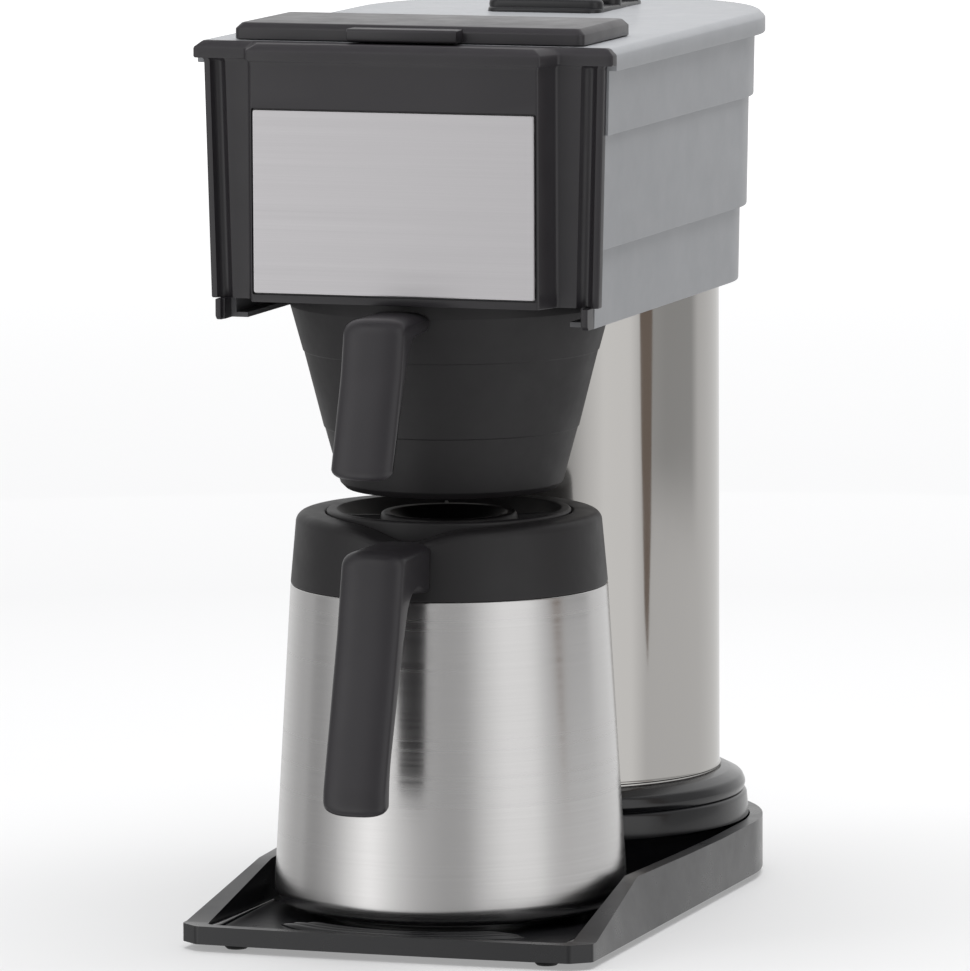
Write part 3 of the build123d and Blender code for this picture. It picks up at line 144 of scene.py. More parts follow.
# ---------------------------------------------------------------- meshes
def new_piece(name, points, faces, body, *nodes, smooth=SMOOTH):
    """A mesh piece from points in millimetres, riding on a body in place of CAD nodes."""
    mesh = bpy.data.meshes.new(name)
    piece = bpy.data.objects.new(name, mesh)
    bpy.context.scene.collection.objects.link(piece)
    build = bmesh.new()
    corners = [build.verts.new(Vector(p) * MM) for p in points]
    for face in faces:
        loop = [corners[i] for i in face]
        if len(set(loop)) > 2:
            build.faces.new(loop)
    bmesh.ops.remove_doubles(build, verts=build.verts, dist=1e-6)
    bmesh.ops.recalc_face_normals(build, faces=build.faces)
    build.to_mesh(mesh)
    build.free()
    finish_edges(piece, smooth)
    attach(piece, body)
    if nodes:
        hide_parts(*nodes)
    return piece


def finish_edges(piece, smooth=SMOOTH):
    """Smooth shading, with edges over the given angle kept crisp."""
    piece.data.shade_smooth()
    piece.data.set_sharp_from_angle(angle=radians(smooth))


def settle(piece):
    """Applies the piece's modifiers to its mesh."""
    graph = bpy.context.evaluated_depsgraph_get()
    graph.update()
    mesh = bpy.data.meshes.new_from_object(piece.evaluated_get(graph))
    before = piece.data
    piece.modifiers.clear()
    piece.data = mesh
    bpy.data.meshes.remove(before)
    mesh.name = piece.name
    finish_edges(piece)
    return piece


def soften(piece, width, segments=3, angle=32):
    """Rounds the piece's edges and keeps its flats flat."""
    bevel = piece.modifiers.new("rounding", "BEVEL")
    bevel.width = width * MM
    bevel.segments = segments
    bevel.limit_method = "ANGLE"
    bevel.angle_limit = radians(angle)
    bevel.miter_outer = "MITER_ARC"
    bevel.use_clamp_overlap = True
    return flatten(settle(piece))


def flatten(piece):
    """Keeps broad faces flat where smooth shading meets them."""
    weighted = piece.modifiers.new("flat faces", "WEIGHTED_NORMAL")
    weighted.keep_sharp = True
    return piece


def skin_faces(rows, count, ring=False, caps=(True, True)):
    """Faces between rows of points that are each a closed loop of count points."""
    faces = []
    for row in range(rows if ring else rows - 1):
        a, b = row * count, ((row + 1) % rows) * count
        for i in range(count):
            j = (i + 1) % count
            faces.append((a + i, a + j, b + j, b + i))
    if not ring and caps[0]:
        faces.append(tuple(range(count)))
    if not ring and caps[1]:
        faces.append(tuple((rows - 1) * count + i for i in range(count)))
    return faces


def loft(name, loops, body, *nodes, ring=False, caps=(True, True), smooth=SMOOTH):
    """A skin through closed loops of 3D points, all with the same number of points."""
    points = [p for loop in loops for p in loop]
    faces = skin_faces(len(loops), len(loops[0]), ring, caps)
    return new_piece(name, points, faces, body, *nodes, smooth=smooth)


def lathe(name, profile, centre_y, body, *nodes, turns=160, shape=None, smooth=SMOOTH):
    """A closed profile of (radius, height) turned about a vertical axis on the centre plane.

    shape(angle, radius, height) may move a point, and gives its radius and height."""
    loops = []
    for radius, height in profile:
        loop = []
        for i in range(turns):
            angle = 2 * pi * i / turns
            r, z = shape(angle, radius, height) if shape else (radius, height)
            loop.append((r * cos(angle), centre_y + r * sin(angle), z))
        loops.append(loop)
    on_axis = profile[0][0] < 1e-6 and profile[-1][0] < 1e-6
    points = [p for loop in loops for p in loop]
    faces = skin_faces(len(loops), turns, ring=not on_axis, caps=(False, False))
    return new_piece(name, points, faces, body, *nodes, smooth=smooth)


def prism(name, outline, plane, low, high, body, *nodes, smooth=SMOOTH):
    """An outline pushed along one axis: plane XY goes up, YZ goes across and XZ goes back."""
    place = {
        "XY": lambda a, b, h: (a, b, h),
        "YZ": lambda a, b, h: (h, a, b),
        "XZ": lambda a, b, h: (a, h, b),
    }[plane]
    loops = [[place(a, b, h) for a, b in outline] for h in (low, high)]
    return loft(name, loops, body, *nodes, smooth=smooth)


def cut(piece, *cutters):
    """Cuts pieces out of one and removes them."""
    for cutter in cutters:
        boolean = piece.modifiers.new("cut", "BOOLEAN")
        boolean.operation = "DIFFERENCE"
        boolean.solver = "EXACT"
        boolean.object = cutter
    settle(piece)
    for cutter in cutters:
        bpy.data.objects.remove(cutter)
    return piece


def join(piece, *others):
    """Joins separate shells into one piece."""
    build = bmesh.new()
    build.from_mesh(piece.data)
    for other in others:
        build.from_mesh(other.data)
    build.to_mesh(piece.data)
    build.free()
    for other in others:
        bpy.data.objects.remove(other)
    finish_edges(piece)
    return piece


# ---------------------------------------------------------------- finishes
class Finish:
    """A Principled material and the nodes that vary it."""

    def __init__(self, name, colour, roughness, metallic=0.0, coat=0.0, coat_roughness=0.1, specular=0.5):
        self.material = bpy.data.materials.new(name)
        self.material.use_nodes = True
        self.tree = self.material.node_tree
        self.shader = self.tree.nodes["Principled BSDF"]
        self.colour = colour
        self.roughness = roughness
        self.shader.inputs["Base Color"].default_value = (*colour, 1)
        self.shader.inputs["Roughness"].default_value = roughness
        self.shader.inputs["Metallic"].default_value = metallic
        self.shader.inputs["Coat Weight"].default_value = coat
        self.shader.inputs["Coat Roughness"].default_value = coat_roughness
        self.shader.inputs["Specular IOR Level"].default_value = specular
        self.where = self.node("ShaderNodeTexCoord").outputs["Object"]
        self.bump = None

    def node(self, kind, **values):
        made = self.tree.nodes.new(kind)
        for key, value in values.items():
            setattr(made, key, value)
        return made

    def link(self, source, target):
        self.tree.links.new(source, target)

    def stretched(self, scale):
        """Object coordinates, scaled along each axis."""
        mapping = self.node("ShaderNodeMapping")
        mapping.inputs["Scale"].default_value = scale
        self.link(self.where, mapping.inputs["Vector"])
        return mapping.outputs["Vector"]

    def noise(self, scale, detail=3.0, rough=0.5, vector=None):
        """Noise from 0 to 1."""
        made = self.node("ShaderNodeTexNoise")
        made.inputs["Scale"].default_value = scale
        made.inputs["Detail"].default_value = detail
        made.inputs["Roughness"].default_value = rough
        self.link(vector or self.where, made.inputs["Vector"])
        return made.outputs["Fac"]

    def spread(self, value, low, high, start=0.3, end=0.7):
        """A value from start to end turned into one from low to high."""
        made = self.node("ShaderNodeMapRange")
        for socket, number in zip(("From Min", "From Max", "To Min", "To Max"), (start, end, low, high)):
            made.inputs[socket].default_value = number
        self.link(value, made.inputs["Value"])
        return made.outputs["Result"]

    def vary_roughness(self, value, low, high):
        varied = self.spread(value, self.roughness + low, self.roughness + high)
        self.link(varied, self.shader.inputs["Roughness"])

    def vary_colour(self, value, darker, lighter, tint=(1, 1, 1)):
        """Mixes between a darker and a lighter shade of the finish's colour."""
        mix = self.node("ShaderNodeMix", data_type="RGBA")
        mix.inputs["A"].default_value = (*[c * darker for c in self.colour], 1)
        mix.inputs["B"].default_value = (*[c * lighter * t for c, t in zip(self.colour, tint)], 1)
        self.link(self.spread(value, 0, 1), mix.inputs["Factor"])
        self.link(mix.outputs["Result"], self.shader.inputs["Base Color"])

    def raise_bump(self, value, height, strength):
        """Adds relief of a height in millimetres on top of any that is there."""
        made = self.node("ShaderNodeBump")
        made.inputs["Strength"].default_value = strength
        made.inputs["Distance"].default_value = height * MM
        self.link(value, made.inputs["Height"])
        if self.bump:
            self.link(self.bump, made.inputs["Normal"])
        self.bump = made.outputs["Normal"]
        self.link(self.bump, self.shader.inputs["Normal"])


def moulded(name, colour, roughness, grain=900, depth=0.02, coat=0.0, mottle=0.12, specular=0.5):
    """Moulded plastic: fine spark grain, slow flow variation and faint handling marks."""
    made = Finish(name, colour, roughness, coat=coat, specular=specular, coat_roughness=0.12)
    slow = made.noise(14, detail=4)
    made.vary_colour(slow, 1 - mottle, 1 + mottle)
    fine = made.noise(grain, detail=2, rough=0.6)
    rub = made.noise(55, detail=5, rough=0.65)
    made.vary_roughness(rub, -0.05, 0.07)
    made.raise_bump(fine, depth, 0.6)
    made.raise_bump(slow, depth * 3, 0.25)
    return made.material


def brushed(name, colour, roughness, scale, depth=0.012, anisotropy=0.0, tone=0.05):
    """Brushed metal: long fine scratches along the directions that the scale stretches."""
    made = Finish(name, colour, roughness, metallic=1.0)
    lines = made.noise(1.0, detail=3, rough=0.7, vector=made.stretched(scale))
    broad = made.noise(1.0, detail=2, vector=made.stretched([s / 6 for s in scale]))
    made.vary_colour(lines, 1 - tone, 1 + tone * 0.6)
    made.vary_roughness(broad, -0.04, 0.05)
    made.raise_bump(lines, depth, 0.5)
    if anisotropy:
        made.shader.inputs["Anisotropic"].default_value = anisotropy
        made.shader.inputs["Anisotropic Rotation"].default_value = 0.25
        tangent = made.node("ShaderNodeTangent", direction_type="RADIAL", axis="Z")
        made.link(tangent.outputs["Tangent"], made.shader.inputs["Tangent"])
    return made.material


def polished(name, colour, roughness):
    """Polished sheet metal: slow waves from rolling, faint wipe marks and hairlines."""
    made = Finish(name, colour, roughness, metallic=1.0)
    roll = made.noise(1.0, detail=1, vector=made.stretched((9, 9, 2.2)))
    wipe = made.noise(1.0, detail=4, rough=0.6, vector=made.stretched((30, 30, 9)))
    hair = made.noise(1.0, detail=2, rough=0.7, vector=made.stretched((700, 700, 6)))
    made.vary_roughness(wipe, -0.02, 0.05)
    made.vary_colour(roll, 0.94, 1.03)
    made.raise_bump(roll, 0.8, 0.35)
    made.raise_bump(hair, 0.004, 0.4)
    return made.material


# ---------------------------------------------------------------- sizes and colours a user would change
class BrewerSizes(bpy.types.PropertyGroup):
    """Edge roundings, wall thickness and fineness of the visible pieces."""

    edge_round: bpy.props.FloatProperty(
        name="Edge round", description="Rounding of the moulded edges",
        default=0.8 * MM, min=0.1 * MM, max=2 * MM, unit="LENGTH")
    grip_round: bpy.props.FloatProperty(
        name="Grip round", description="Rounding of the handles' long edges",
        default=4.4 * MM, min=0.5 * MM, max=6 * MM, unit="LENGTH")
    casing_wall: bpy.props.FloatProperty(
        name="Casing wall", description="Thickness of the hood's and funnel's walls",
        default=2.5 * MM, min=1 * MM, max=4 * MM, unit="LENGTH")
    lathe_turns: bpy.props.IntProperty(
        name="Turned faces", description="Faces round each turned piece",
        default=192, min=48, max=512)


def colour_property(name, description, shade):
    return bpy.props.FloatVectorProperty(
        name=name, description=description, default=shade, size=3, min=0, max=1, subtype="COLOR")


class BrewerColours(bpy.types.PropertyGroup):
    """Colours of the finishes."""

    satin_black: colour_property("Satin black", "Tray, column rings, vent and switch", (0.010, 0.010, 0.0115))
    matte_black: colour_property("Matte black", "Brew funnel, carafe rim and lid", (0.011, 0.010, 0.011))
    charcoal: colour_property("Charcoal", "Fascia, bay ends, fill lid and grips", (0.022, 0.020, 0.023))
    hood_grey: colour_property("Hood grey", "Hood casing", (0.305, 0.312, 0.327))
    steel: colour_property("Steel", "Carafe", (0.72, 0.71, 0.705))
    column_steel: colour_property("Column steel", "Column tube", (0.575, 0.56, 0.54))
    plate: colour_property("Plate", "Plate on the fascia", (0.66, 0.645, 0.66))


def sizes():
    return bpy.context.scene.brewer_sizes


def colours():
    return bpy.context.scene.brewer_colours


def finish_of(kind):
    """A finish by its maker's name, made once."""
    found = bpy.data.materials.get(kind)
    if found:
        return found
    c = colours()
    satin, matte, charcoal = (tuple(getattr(c, n)) for n in ("satin_black", "matte_black", "charcoal"))
    grey, steel, plate = (tuple(getattr(c, n)) for n in ("hood_grey", "steel", "plate"))
    makers = {
        "satin black moulding": lambda k: moulded(k, satin, 0.30, grain=1400, depth=0.008, coat=0.25),
        "gloss black moulding": lambda k: moulded(k, satin, 0.20, grain=1600, depth=0.005, coat=0.4),
        "matte black moulding": lambda k: moulded(k, matte, 0.56, grain=1500, depth=0.03, mottle=0.08),
        "collar moulding": lambda k: moulded(k, matte, 0.46, grain=1500, depth=0.02, mottle=0.08),
        "grip moulding": lambda k: moulded(k, charcoal, 0.36, grain=1300, depth=0.012, coat=0.1),
        "charcoal moulding": lambda k: moulded(k, charcoal, 0.36, grain=1500, depth=0.014, coat=0.15),
        "lid moulding": lambda k: moulded(k, charcoal, 0.34, grain=1500, depth=0.012, coat=0.2),
        "satin grey moulding": lambda k: moulded(k, grey, 0.42, grain=1400, depth=0.012, coat=0.12,
                                                 mottle=0.03),
        "brushed carafe steel": lambda k: brushed(k, steel, 0.24, (4, 4, 2600), depth=0.0012,
                                                  anisotropy=0.5, tone=0.02),
        "polished column steel": lambda k: polished(k, tuple(c.column_steel), 0.08),
        "brushed plate": lambda k: brushed(k, plate, 0.42, (7, 40, 1900), tone=0.03),
        "plain steel": lambda k: brushed(k, (0.55, 0.55, 0.55), 0.30, (400, 400, 400)),
        "tank steel": lambda k: brushed(k, (0.6, 0.6, 0.59), 0.35, (20, 20, 900)),
        "spring steel": lambda k: brushed(k, (0.5, 0.5, 0.5), 0.25, (900, 900, 900)),
        "white moulding": lambda k: moulded(k, (0.62, 0.62, 0.60), 0.42, mottle=0.04),
        "clear grey moulding": lambda k: moulded(k, (0.33, 0.35, 0.36), 0.30, mottle=0.05, coat=0.2),
        "silicone": lambda k: moulded(k, (0.50, 0.49, 0.46), 0.62, grain=500, mottle=0.05, specular=0.4),
        "foot rubber": lambda k: moulded(k, (0.012, 0.012, 0.012), 0.72, grain=600, depth=0.04, specular=0.3),
        "insulation felt": lambda k: moulded(k, (0.45, 0.42, 0.36), 0.95, grain=350, depth=0.35, mottle=0.2,
                                             specular=0.1),
        "grey sheet plate": lambda k: moulded(k, (0.12, 0.12, 0.125), 0.55, grain=700, mottle=0.08),
    }
    return makers[kind](kind)


def dress(piece, kind):
    """Gives a piece one finish all over, in place of the material that it came with."""
    piece.data.materials.clear()
    piece.data.materials.append(finish_of(kind))
    return piece


def dress_node(node, kind):
    """Gives a CAD node a finish through its object's material slots."""
    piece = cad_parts[node]
    for place in piece.material_slots:
        place.link = "OBJECT"
        place.material = finish_of(kind)


def unit(value):
    """A size property, in millimetres."""
    return value / MM


# ---------------------------------------------------------------- tray
tray_wall = 5.5
tray_wall_front = 10.0
tray_lip = 5.0
tray_floor_z = ring_low.z
corner_cut = 8.0
front_bow = 1.5
front_lip_z = base_low.z + 7.5
wall_slope_front = base_low.y + 13.0
wall_slope_back = wall_slope_front + 73.0
wall_top_z = base_high.z - 3.0
wall_lean = 5.5           # how far the wall's top is drawn in where the slope ends
lean_fades_over = 90.0


def wall_height(y):
    """Top of the tray's wall: high along the column, sloping down to the front lip."""
    share = (y - wall_slope_front) / (wall_slope_back - wall_slope_front)
    share = min(1.0, max(0.0, share))
    return front_lip_z + (wall_top_z - front_lip_z) * share


def leaned(x, y):
    """Where the wall's top lies in plan: drawn in most where the slope ends, and not at all at the column."""
    rise = (wall_height(y) - front_lip_z) / (wall_top_z - front_lip_z)
    fade = 1 - min(1.0, max(0.0, (y - wall_slope_back) / lean_fades_over))
    return x - (1 if x > 0 else -1) * min(abs(x), wall_lean * rise * fade), y


def tray_stations():
    """Right half of the tray's wall in plan, rear to front: pairs of outer and inner points."""
    half_in = base_half - tray_wall
    front_in = base_half - tray_wall_front
    pairs = []
    for i in range(33):
        angle = pi / 2 - pi / 2 * i / 32
        across, back = cos(angle), sin(angle)
        pairs.append((
            (base_half * across, column_y + base_half * back),
            (half_in * across, column_y + half_in * back),
        ))
    length = wall_slope_back - wall_slope_front
    for y in (column_y * 0.5, 0.0, wall_slope_back + 20):
        pairs.append(((base_half, y), (half_in, y)))
    for i in range(9):
        y = wall_slope_back - length * i / 8
        pairs.append(((base_half, y), (half_in + (front_in - half_in) * i / 8, y)))
    corner_y = base_low.y + corner_cut
    outer = rounded(
        [(base_half, wall_slope_front), (base_half, corner_y),
         (base_half - corner_cut, base_low.y + front_bow),
         (base_half - 2 * corner_cut, base_low.y + front_bow * 0.8)],
        (0, 2.5, 4.0, 0), closed=False, steps=4)[1:-1]
    inner_corner = (front_in - 1.5, base_low.y + tray_lip + front_bow)
    inner = rounded(
        [(front_in, wall_slope_front), inner_corner, (front_in - 12, base_low.y + tray_lip + front_bow)],
        (0, 4.0, 0), closed=False, steps=9)[1:-1]
    pairs += list(zip(outer, inner))
    reach = outer[-1][0]
    for i in range(1, 9):
        share = 1 - i / 8
        bow = front_bow * share * share
        pairs.append((
            (reach * share, base_low.y + bow),
            (inner[-1][0] * share, base_low.y + tray_lip + bow),
        ))
    return pairs


def both_sides(right):
    """A right half from rear to front, then its left half back; both ends lie on the centre line."""
    return list(right) + [(-x, y) for x, y in reversed(right[1:-1])]


def shrunk(loop, inset):
    """A convex outline moved inwards."""
    out = []
    for i, (x, y) in enumerate(loop):
        before, after = Vector(loop[i - 1]), Vector(loop[(i + 1) % len(loop)])
        along = (after - before).normalized()
        inward = Vector((along.y, -along.x))
        if inward.dot(Vector((-x, (base_low.y + base_high.y) / 2 - y))) < 0:
            inward = -inward
        out.append((x + inward.x * inset, y + inward.y * inset))
    return out


def openings(margin, pocket_end, hole_radius, hole_start):
    """Cutters for the switch's pocket in the left side and the cord's hole at the rear."""
    low, high = span("switch_bezel")
    outline = rectangle(low.y + margin, low.z + margin, high.y - margin, high.z - margin)
    pocket = prism("pocket", outline, "YZ", -base_half - 5, pocket_end, "machine")
    low, high = span("cord_gland")
    outline = arc((0, (low.z + high.z) / 2), hole_radius, 0, 345, 23)
    return pocket, prism("hole", outline, "XZ", low.y - hole_start, high.y + 5, "machine")


def build_tray():
    pairs = tray_stations()
    outer = both_sides([a for a, b in pairs])
    inner = both_sides([b for a, b in pairs])
    heights = [wall_height(y) for x, y in outer]
    under = shrunk(outer, 4.0)
    ceiling = base_low.z + 2.5
    loops = [
        [(x, y, ceiling) for x, y in under],
        [(x, y, base_low.z) for x, y in under],
        [(x, y, base_low.z) for x, y in outer],
        [(*leaned(x, y), h) for (x, y), h in zip(outer, heights)],
        [(*leaned(x, y), h) for (x, y), h in zip(inner, heights)],
        [(*leaned(x, y), tray_floor_z) for x, y in inner],
    ]
    tray = loft("tray", loops, "machine", "tray_base")
    soften(tray, unit(sizes().edge_round), angle=40)
    cut(tray, *openings(1.6, -base_half + tray_wall + 1, 6.0, 6))
    dress(tray, "satin black moulding")


def swept_ridge(name, centre, radius, start, end, width, height, floor, body, fade=9.0):
    """A low ridge on an arc, which thins to a point at both ends."""
    loops = []
    steps = 48
    for i in range(steps + 1):
        angle = start + (end - start) * i / steps
        edge = min(angle - start, end - angle)
        size = sin(min(1.0, max(0.02, edge / fade)) * pi / 2) ** 0.7
        across = (cos(radians(angle)), sin(radians(angle)))
        loop = []
        for k in range(9):
            turn = pi * k / 8
            out = radius + width / 2 * size * cos(turn)
            loop.append((centre[0] + out * across[0], centre[1] + out * across[1],
                         floor + height * size * sin(turn)))
        for k in (8, 0):
            out = radius + width / 2 * size * cos(pi * k / 8)
            loop.append((centre[0] + out * across[0], centre[1] + out * across[1], floor - 0.4))
        loops.append(loop)
    return loft(name, loops, body)


def build_tray_ribs():
    """Round ribs under the carafe, crescents in front of it and a ridge to each front corner."""
    ribs = []
    for radius in (28.8, 42.8, 56.8):
        outline = rectangle(radius - 1.2, tray_floor_z - 0.4, radius + 1.2, tray_floor_z + 2.9)
        profile = rounded(outline, (0, 0, 0.6, 0.6), steps=3)
        ribs.append(lathe("rib", profile, carafe_y, "machine", turns=96))
    crescent_width, crescent_height = 3.2, 2.1
    for radius, reach in ((72.0, 38.0), (77.0, 40.0), (82.0, 40.0)):
        ribs.append(swept_ridge("crescent", (0, carafe_y), radius, 270 - reach, 270 + reach,
                                crescent_width, crescent_height, tray_floor_z, "machine"))
    for side in (-1, 1):
        far = Vector((side * (base_half - tray_wall_front - 2.5), base_low.y + tray_lip + 3.0))
        near = Vector((side * (base_half - tray_wall - 6.3), wall_slope_back))
        along = (near - far).normalized()
        across = Vector((-along.y, along.x))
        loops = []
        for i in range(13):
            share = i / 12
            middle = far.lerp(near, share)
            size = 1 - 0.75 * share
            loop = []
            for k in range(7):
                turn = pi * k / 6
                rise = 2.3 * size * sin(turn)
                loop.append((*(middle + across * 2.0 * size * cos(turn)), tray_floor_z - 0.2 + rise))
            for out in (-2.0, 2.0):
                loop.append((*(middle + across * out * size), tray_floor_z - 0.5))
            loops.append(loop)
        ribs.append(loft("ridge", loops, "machine"))
    ribs[0].name = "tray_ribs"
    join(ribs[0], *ribs[1:])
    dress(ribs[0], "gloss black moulding")


# ---------------------------------------------------------------- column
def nest_cutter():
    """The round nest that the carafe backs into."""
    nest_gap = 3.6
    profile = rectangle(0, ring_low.z - 2, carafe_radius + nest_gap, collar_high.z + 3)
    return lathe("nest", profile, carafe_y, "machine", turns=128)


def build_rings():
    """Stepped foot ring and the rounded collar ring that the tube rises from."""
    ring_inner = 60.0
    lip = ring_high.x
    turns = sizes().lathe_turns
    skirt = lip - 1.5
    low = rounded(
        [(ring_inner, ring_low.z), (skirt, ring_low.z), (skirt, ring_low.z + 17.2),
         (lip, ring_low.z + 18.0), (lip - 0.9, collar_low_z), (ring_inner, collar_low_z)],
        (0, 0.5, 0.6, 0.5, 2.2, 0), steps=5)
    foot = lathe("foot_ring", low, column_y, "machine", "column_foot", turns=turns)
    cut(foot, nest_cutter())
    cut(foot, *openings(0, span("switch_bezel")[1].x + 0.3, 6.1, 8))
    dress(foot, "gloss black moulding")

    edge = collar_high.x + 1.2
    bore = column_radius + 0.05
    top = rounded(
        [(ring_inner, collar_low_z), (edge - 0.9, collar_low_z), (edge, collar_low_z + 3.0),
         (edge - 1.4, collar_low_z + 6.4), (bore + 4.6, collar_top_z - 1.0), (bore + 0.8, collar_top_z),
         (bore, collar_top_z - 0.8), (bore, column_low.z), (ring_inner, column_low.z)],
        (0, 0.8, 3.0, 3.0, 3.5, 0.5, 0.2, 0, 0), steps=6)
    ring = lathe("collar_ring", top, column_y, "machine", "column_collar", turns=turns)
    cut(ring, nest_cutter())
    dress(ring, "gloss black moulding")


def build_column():
    """Polished tube with a rolled bead at its foot and a folded seam at the rear."""
    inner = column_radius - 0.8
    bead = collar_top_z + 1.4
    profile = [(inner, column_low.z), (column_radius, column_low.z), (column_radius, bead - 1.0)]
    profile += arc((column_radius - 0.25, bead), 0.75, -70, 70, 8)
    profile += [(column_radius, bead + 1.0), (column_radius, bead + 6)]
    rows = 14
    low, high = bead + 6, column_high.z
    profile += [(column_radius, low + (high - low) * i / rows) for i in range(1, rows + 1)]
    profile.append((inner, column_high.z))

    def seamed(angle, radius, height):
        off = abs((angle - pi / 2 + pi) % (2 * pi) - pi) * column_radius
        if radius > inner + 0.1 and off < 4.2:
            return radius + 0.35, height
        return radius, height

    tube = lathe("column_tube", profile, column_y, "machine", "column_skin", turns=256, shape=seamed)
    dress(tube, "polished column steel")


# ---------------------------------------------------------------- hood
tier_insets = (9.9, 6.7, 3.8)      # in from the lip, lowest tier first
tier_feet = (0.0, 31.9, 78.7)      # up from the hood's underside
lid_front = lid_low.y + 8.4        # behind the finger tab
lid_back = lid_front + 64.0


def tower(half, rear, front, z, steps=56):
    """The hood in plan: straight sides that run back into a half round."""
    centre = rear - half
    points = [(half, front, z), (half, (front + centre) / 2, z)]
    points += [(x, y, z) for x, y in arc((0, centre), half, 0, 180, steps)]
    points += [(-half, (front + centre) / 2, z), (-half, front, z)]
    return points


def build_hood():
    wall = unit(sizes().casing_wall)
    front = fascia_high.y
    top = vent_low.z
    lip_low = top - 9.3
    feet = [hood_low.z + rise for rise in tier_feet]
    heads = (feet[1], feet[2], lip_low)
    halves = [lip_half - inset for inset in tier_insets]
    rears = [hood_high.y - inset for inset in (16.0, 11.4, 8.2)]
    draft = tan(radians(1.2))
    loops = []
    for tier, z in ((2, top - wall), (2, heads[1] + wall), (1, heads[1] + wall), (1, heads[0] + wall),
                    (0, heads[0] + wall), (0, feet[0])):
        loops.append(tower(halves[tier] - wall, rears[tier] - wall, front + 1.5, z))
    round_edge = 0.45
    for i in range(3):
        grow = draft * (heads[i] - feet[i])
        loops.append(tower(halves[i] - round_edge * 0.3, rears[i] - round_edge * 0.3, front, feet[i]))
        loops.append(tower(halves[i], rears[i], front, feet[i] + round_edge))
        loops.append(tower(halves[i] + grow, rears[i] + grow, front, heads[i]))
    for inset, z in ((0.3, lip_low), (0, lip_low + round_edge), (0, top - 3.2), (0.45, top - 2.4),
                     (2.3, top - 0.5), (3.3, top)):
        loops.append(tower(lip_half - inset, hood_high.y - inset, front, z))
    casing = loft("hood_casing", loops, "machine", "hood_shell", smooth=30)
    lid_middle = (lid_front + lid_back) / 2
    opening = rounded(rectangle(-70, lid_middle - 27, 70, lid_middle + 27), (4,) * 4)
    fill = prism("opening", opening, "XY", top - wall - 4, top + 4, "machine")
    mouth_half = halves[0] - wall
    outline = rectangle(-mouth_half, hood_low.z - 4, mouth_half, fascia_low.z)
    mouth = prism("mouth", outline, "XZ", front - 4, front + 3, "machine")
    cut(casing, fill, mouth)
    ears = []
    hinge_low, hinge_high = span("lid_hinge_pin")
    hinge_y, hinge_z = (hinge_low.y + hinge_high.y) / 2, (hinge_low.z + hinge_high.z) / 2
    for side in (-1, 1):
        low, high = sorted((side * hinge_high.x, side * (hinge_high.x - 4.0)))
        outline = [(hinge_y - 3.0, top - 1.0), (hinge_y + 3.0, top - 1.0)]
        outline += arc((hinge_y, hinge_z), 3.0, 0, 180, 16)
        ears.append(prism("ear", outline, "YZ", low, high, "machine"))
    join(casing, *ears)
    dress(casing, "satin grey moulding")


def build_cheeks():
    """Dark ends of the funnel bay, below the fascia, with a charcoal sheet that runs back from each along the
    inside of its wall; the charcoal on the bay's inner faces is painted shade.
    """
    wall = unit(sizes().casing_wall)
    front = fascia_high.y
    outer_half = lip_half - tier_insets[0]
    pieces = []
    for side in (-1, 1):
        low, high = sorted((side * (outer_half - wall), side * (outer_half - 0.05)))
        outline = rounded(
            [(front - 0.05, fascia_low.z), (front - 0.05, hood_low.z), (front - 7.4, hood_low.z),
             (front - 9.0, hood_low.z + 1.6), (front - 9.0, fascia_low.z)],
            (0, 0, 1.2, 0.8, 0), steps=3)
        name = "hood_cheeks" if side < 0 else "cheek"
        pieces.append(soften(prism(name, outline, "YZ", low, high, "machine"), 0.4, segments=2))
        # painted shade: a thin charcoal sheet on the inner face of each grey side wall, standing for the
        # shadow inside the funnel bay
        low, high = sorted((side * (outer_half - wall - 1.0), side * (outer_half - wall - 0.02)))
        bay_shade_sheet = [(front - 7.0, fascia_low.z), (front - 7.0, hood_low.z + 0.3),
                  (front + 58.0, hood_low.z + 0.3), (front + 58.0, fascia_low.z)]
        pieces.append(prism("bay_shade_sheet", bay_shade_sheet, "YZ", low, high, "machine"))
    cheeks = pieces[0]
    join(cheeks, *pieces[1:])
    dress(cheeks, "charcoal moulding")


def build_vent():
    """Steam vent: three round-ended louvres on a low plinth."""
    half = vent_high.x
    base = rounded(rectangle(-half, vent_low.y, half, vent_high.y), (6,) * 4)

    def slab(name, outline, z0, z1, roundness):
        cx = sum(x for x, y in outline) / len(outline)
        cy = sum(y for x, y in outline) / len(outline)
        loops = [[(x, y, z0) for x, y in outline], [(x, y, z1 - roundness) for x, y in outline]]
        for i in range(1, 6):
            angle = pi / 2 * i / 5
            inset = roundness * (1 - cos(angle))
            loop = []
            for x, y in outline:
                dx, dy = x - cx, y - cy
                reach_x = max(abs(a - cx) for a, b in outline)
                reach_y = max(abs(b - cy) for a, b in outline)
                loop.append((cx + dx * (1 - inset / reach_x), cy + dy * (1 - inset / reach_y),
                             z1 - roundness + roundness * sin(angle)))
            loops.append(loop)
        return loft(name, loops, "machine", smooth=50)

    parts = [slab("vent_grille", base, vent_low.z, vent_low.z + 2.0, 1.2)]
    pitch = 25.0
    for index in range(3):
        middle = vent_low.y + 7.5 + pitch * index
        right = arc((half - 5.0, middle), 5.0, -90, 90, 16)
        left = arc((5.0 - half, middle), 5.0, 90, 270, 16)
        parts.append(slab("louvre", right + left, vent_low.z + 1.0, vent_high.z, 2.2))
    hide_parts("steam_vent")
    join(parts[0], *parts[1:])
    dress(parts[0], "satin black moulding")


# ---------------------------------------------------------------- fascia
plate_half = plate_high.x
panel_y = fascia_high.y - 4.5
platform_y = fascia_high.y - 16.5
rim_low_z = fascia_high.z - 7.1


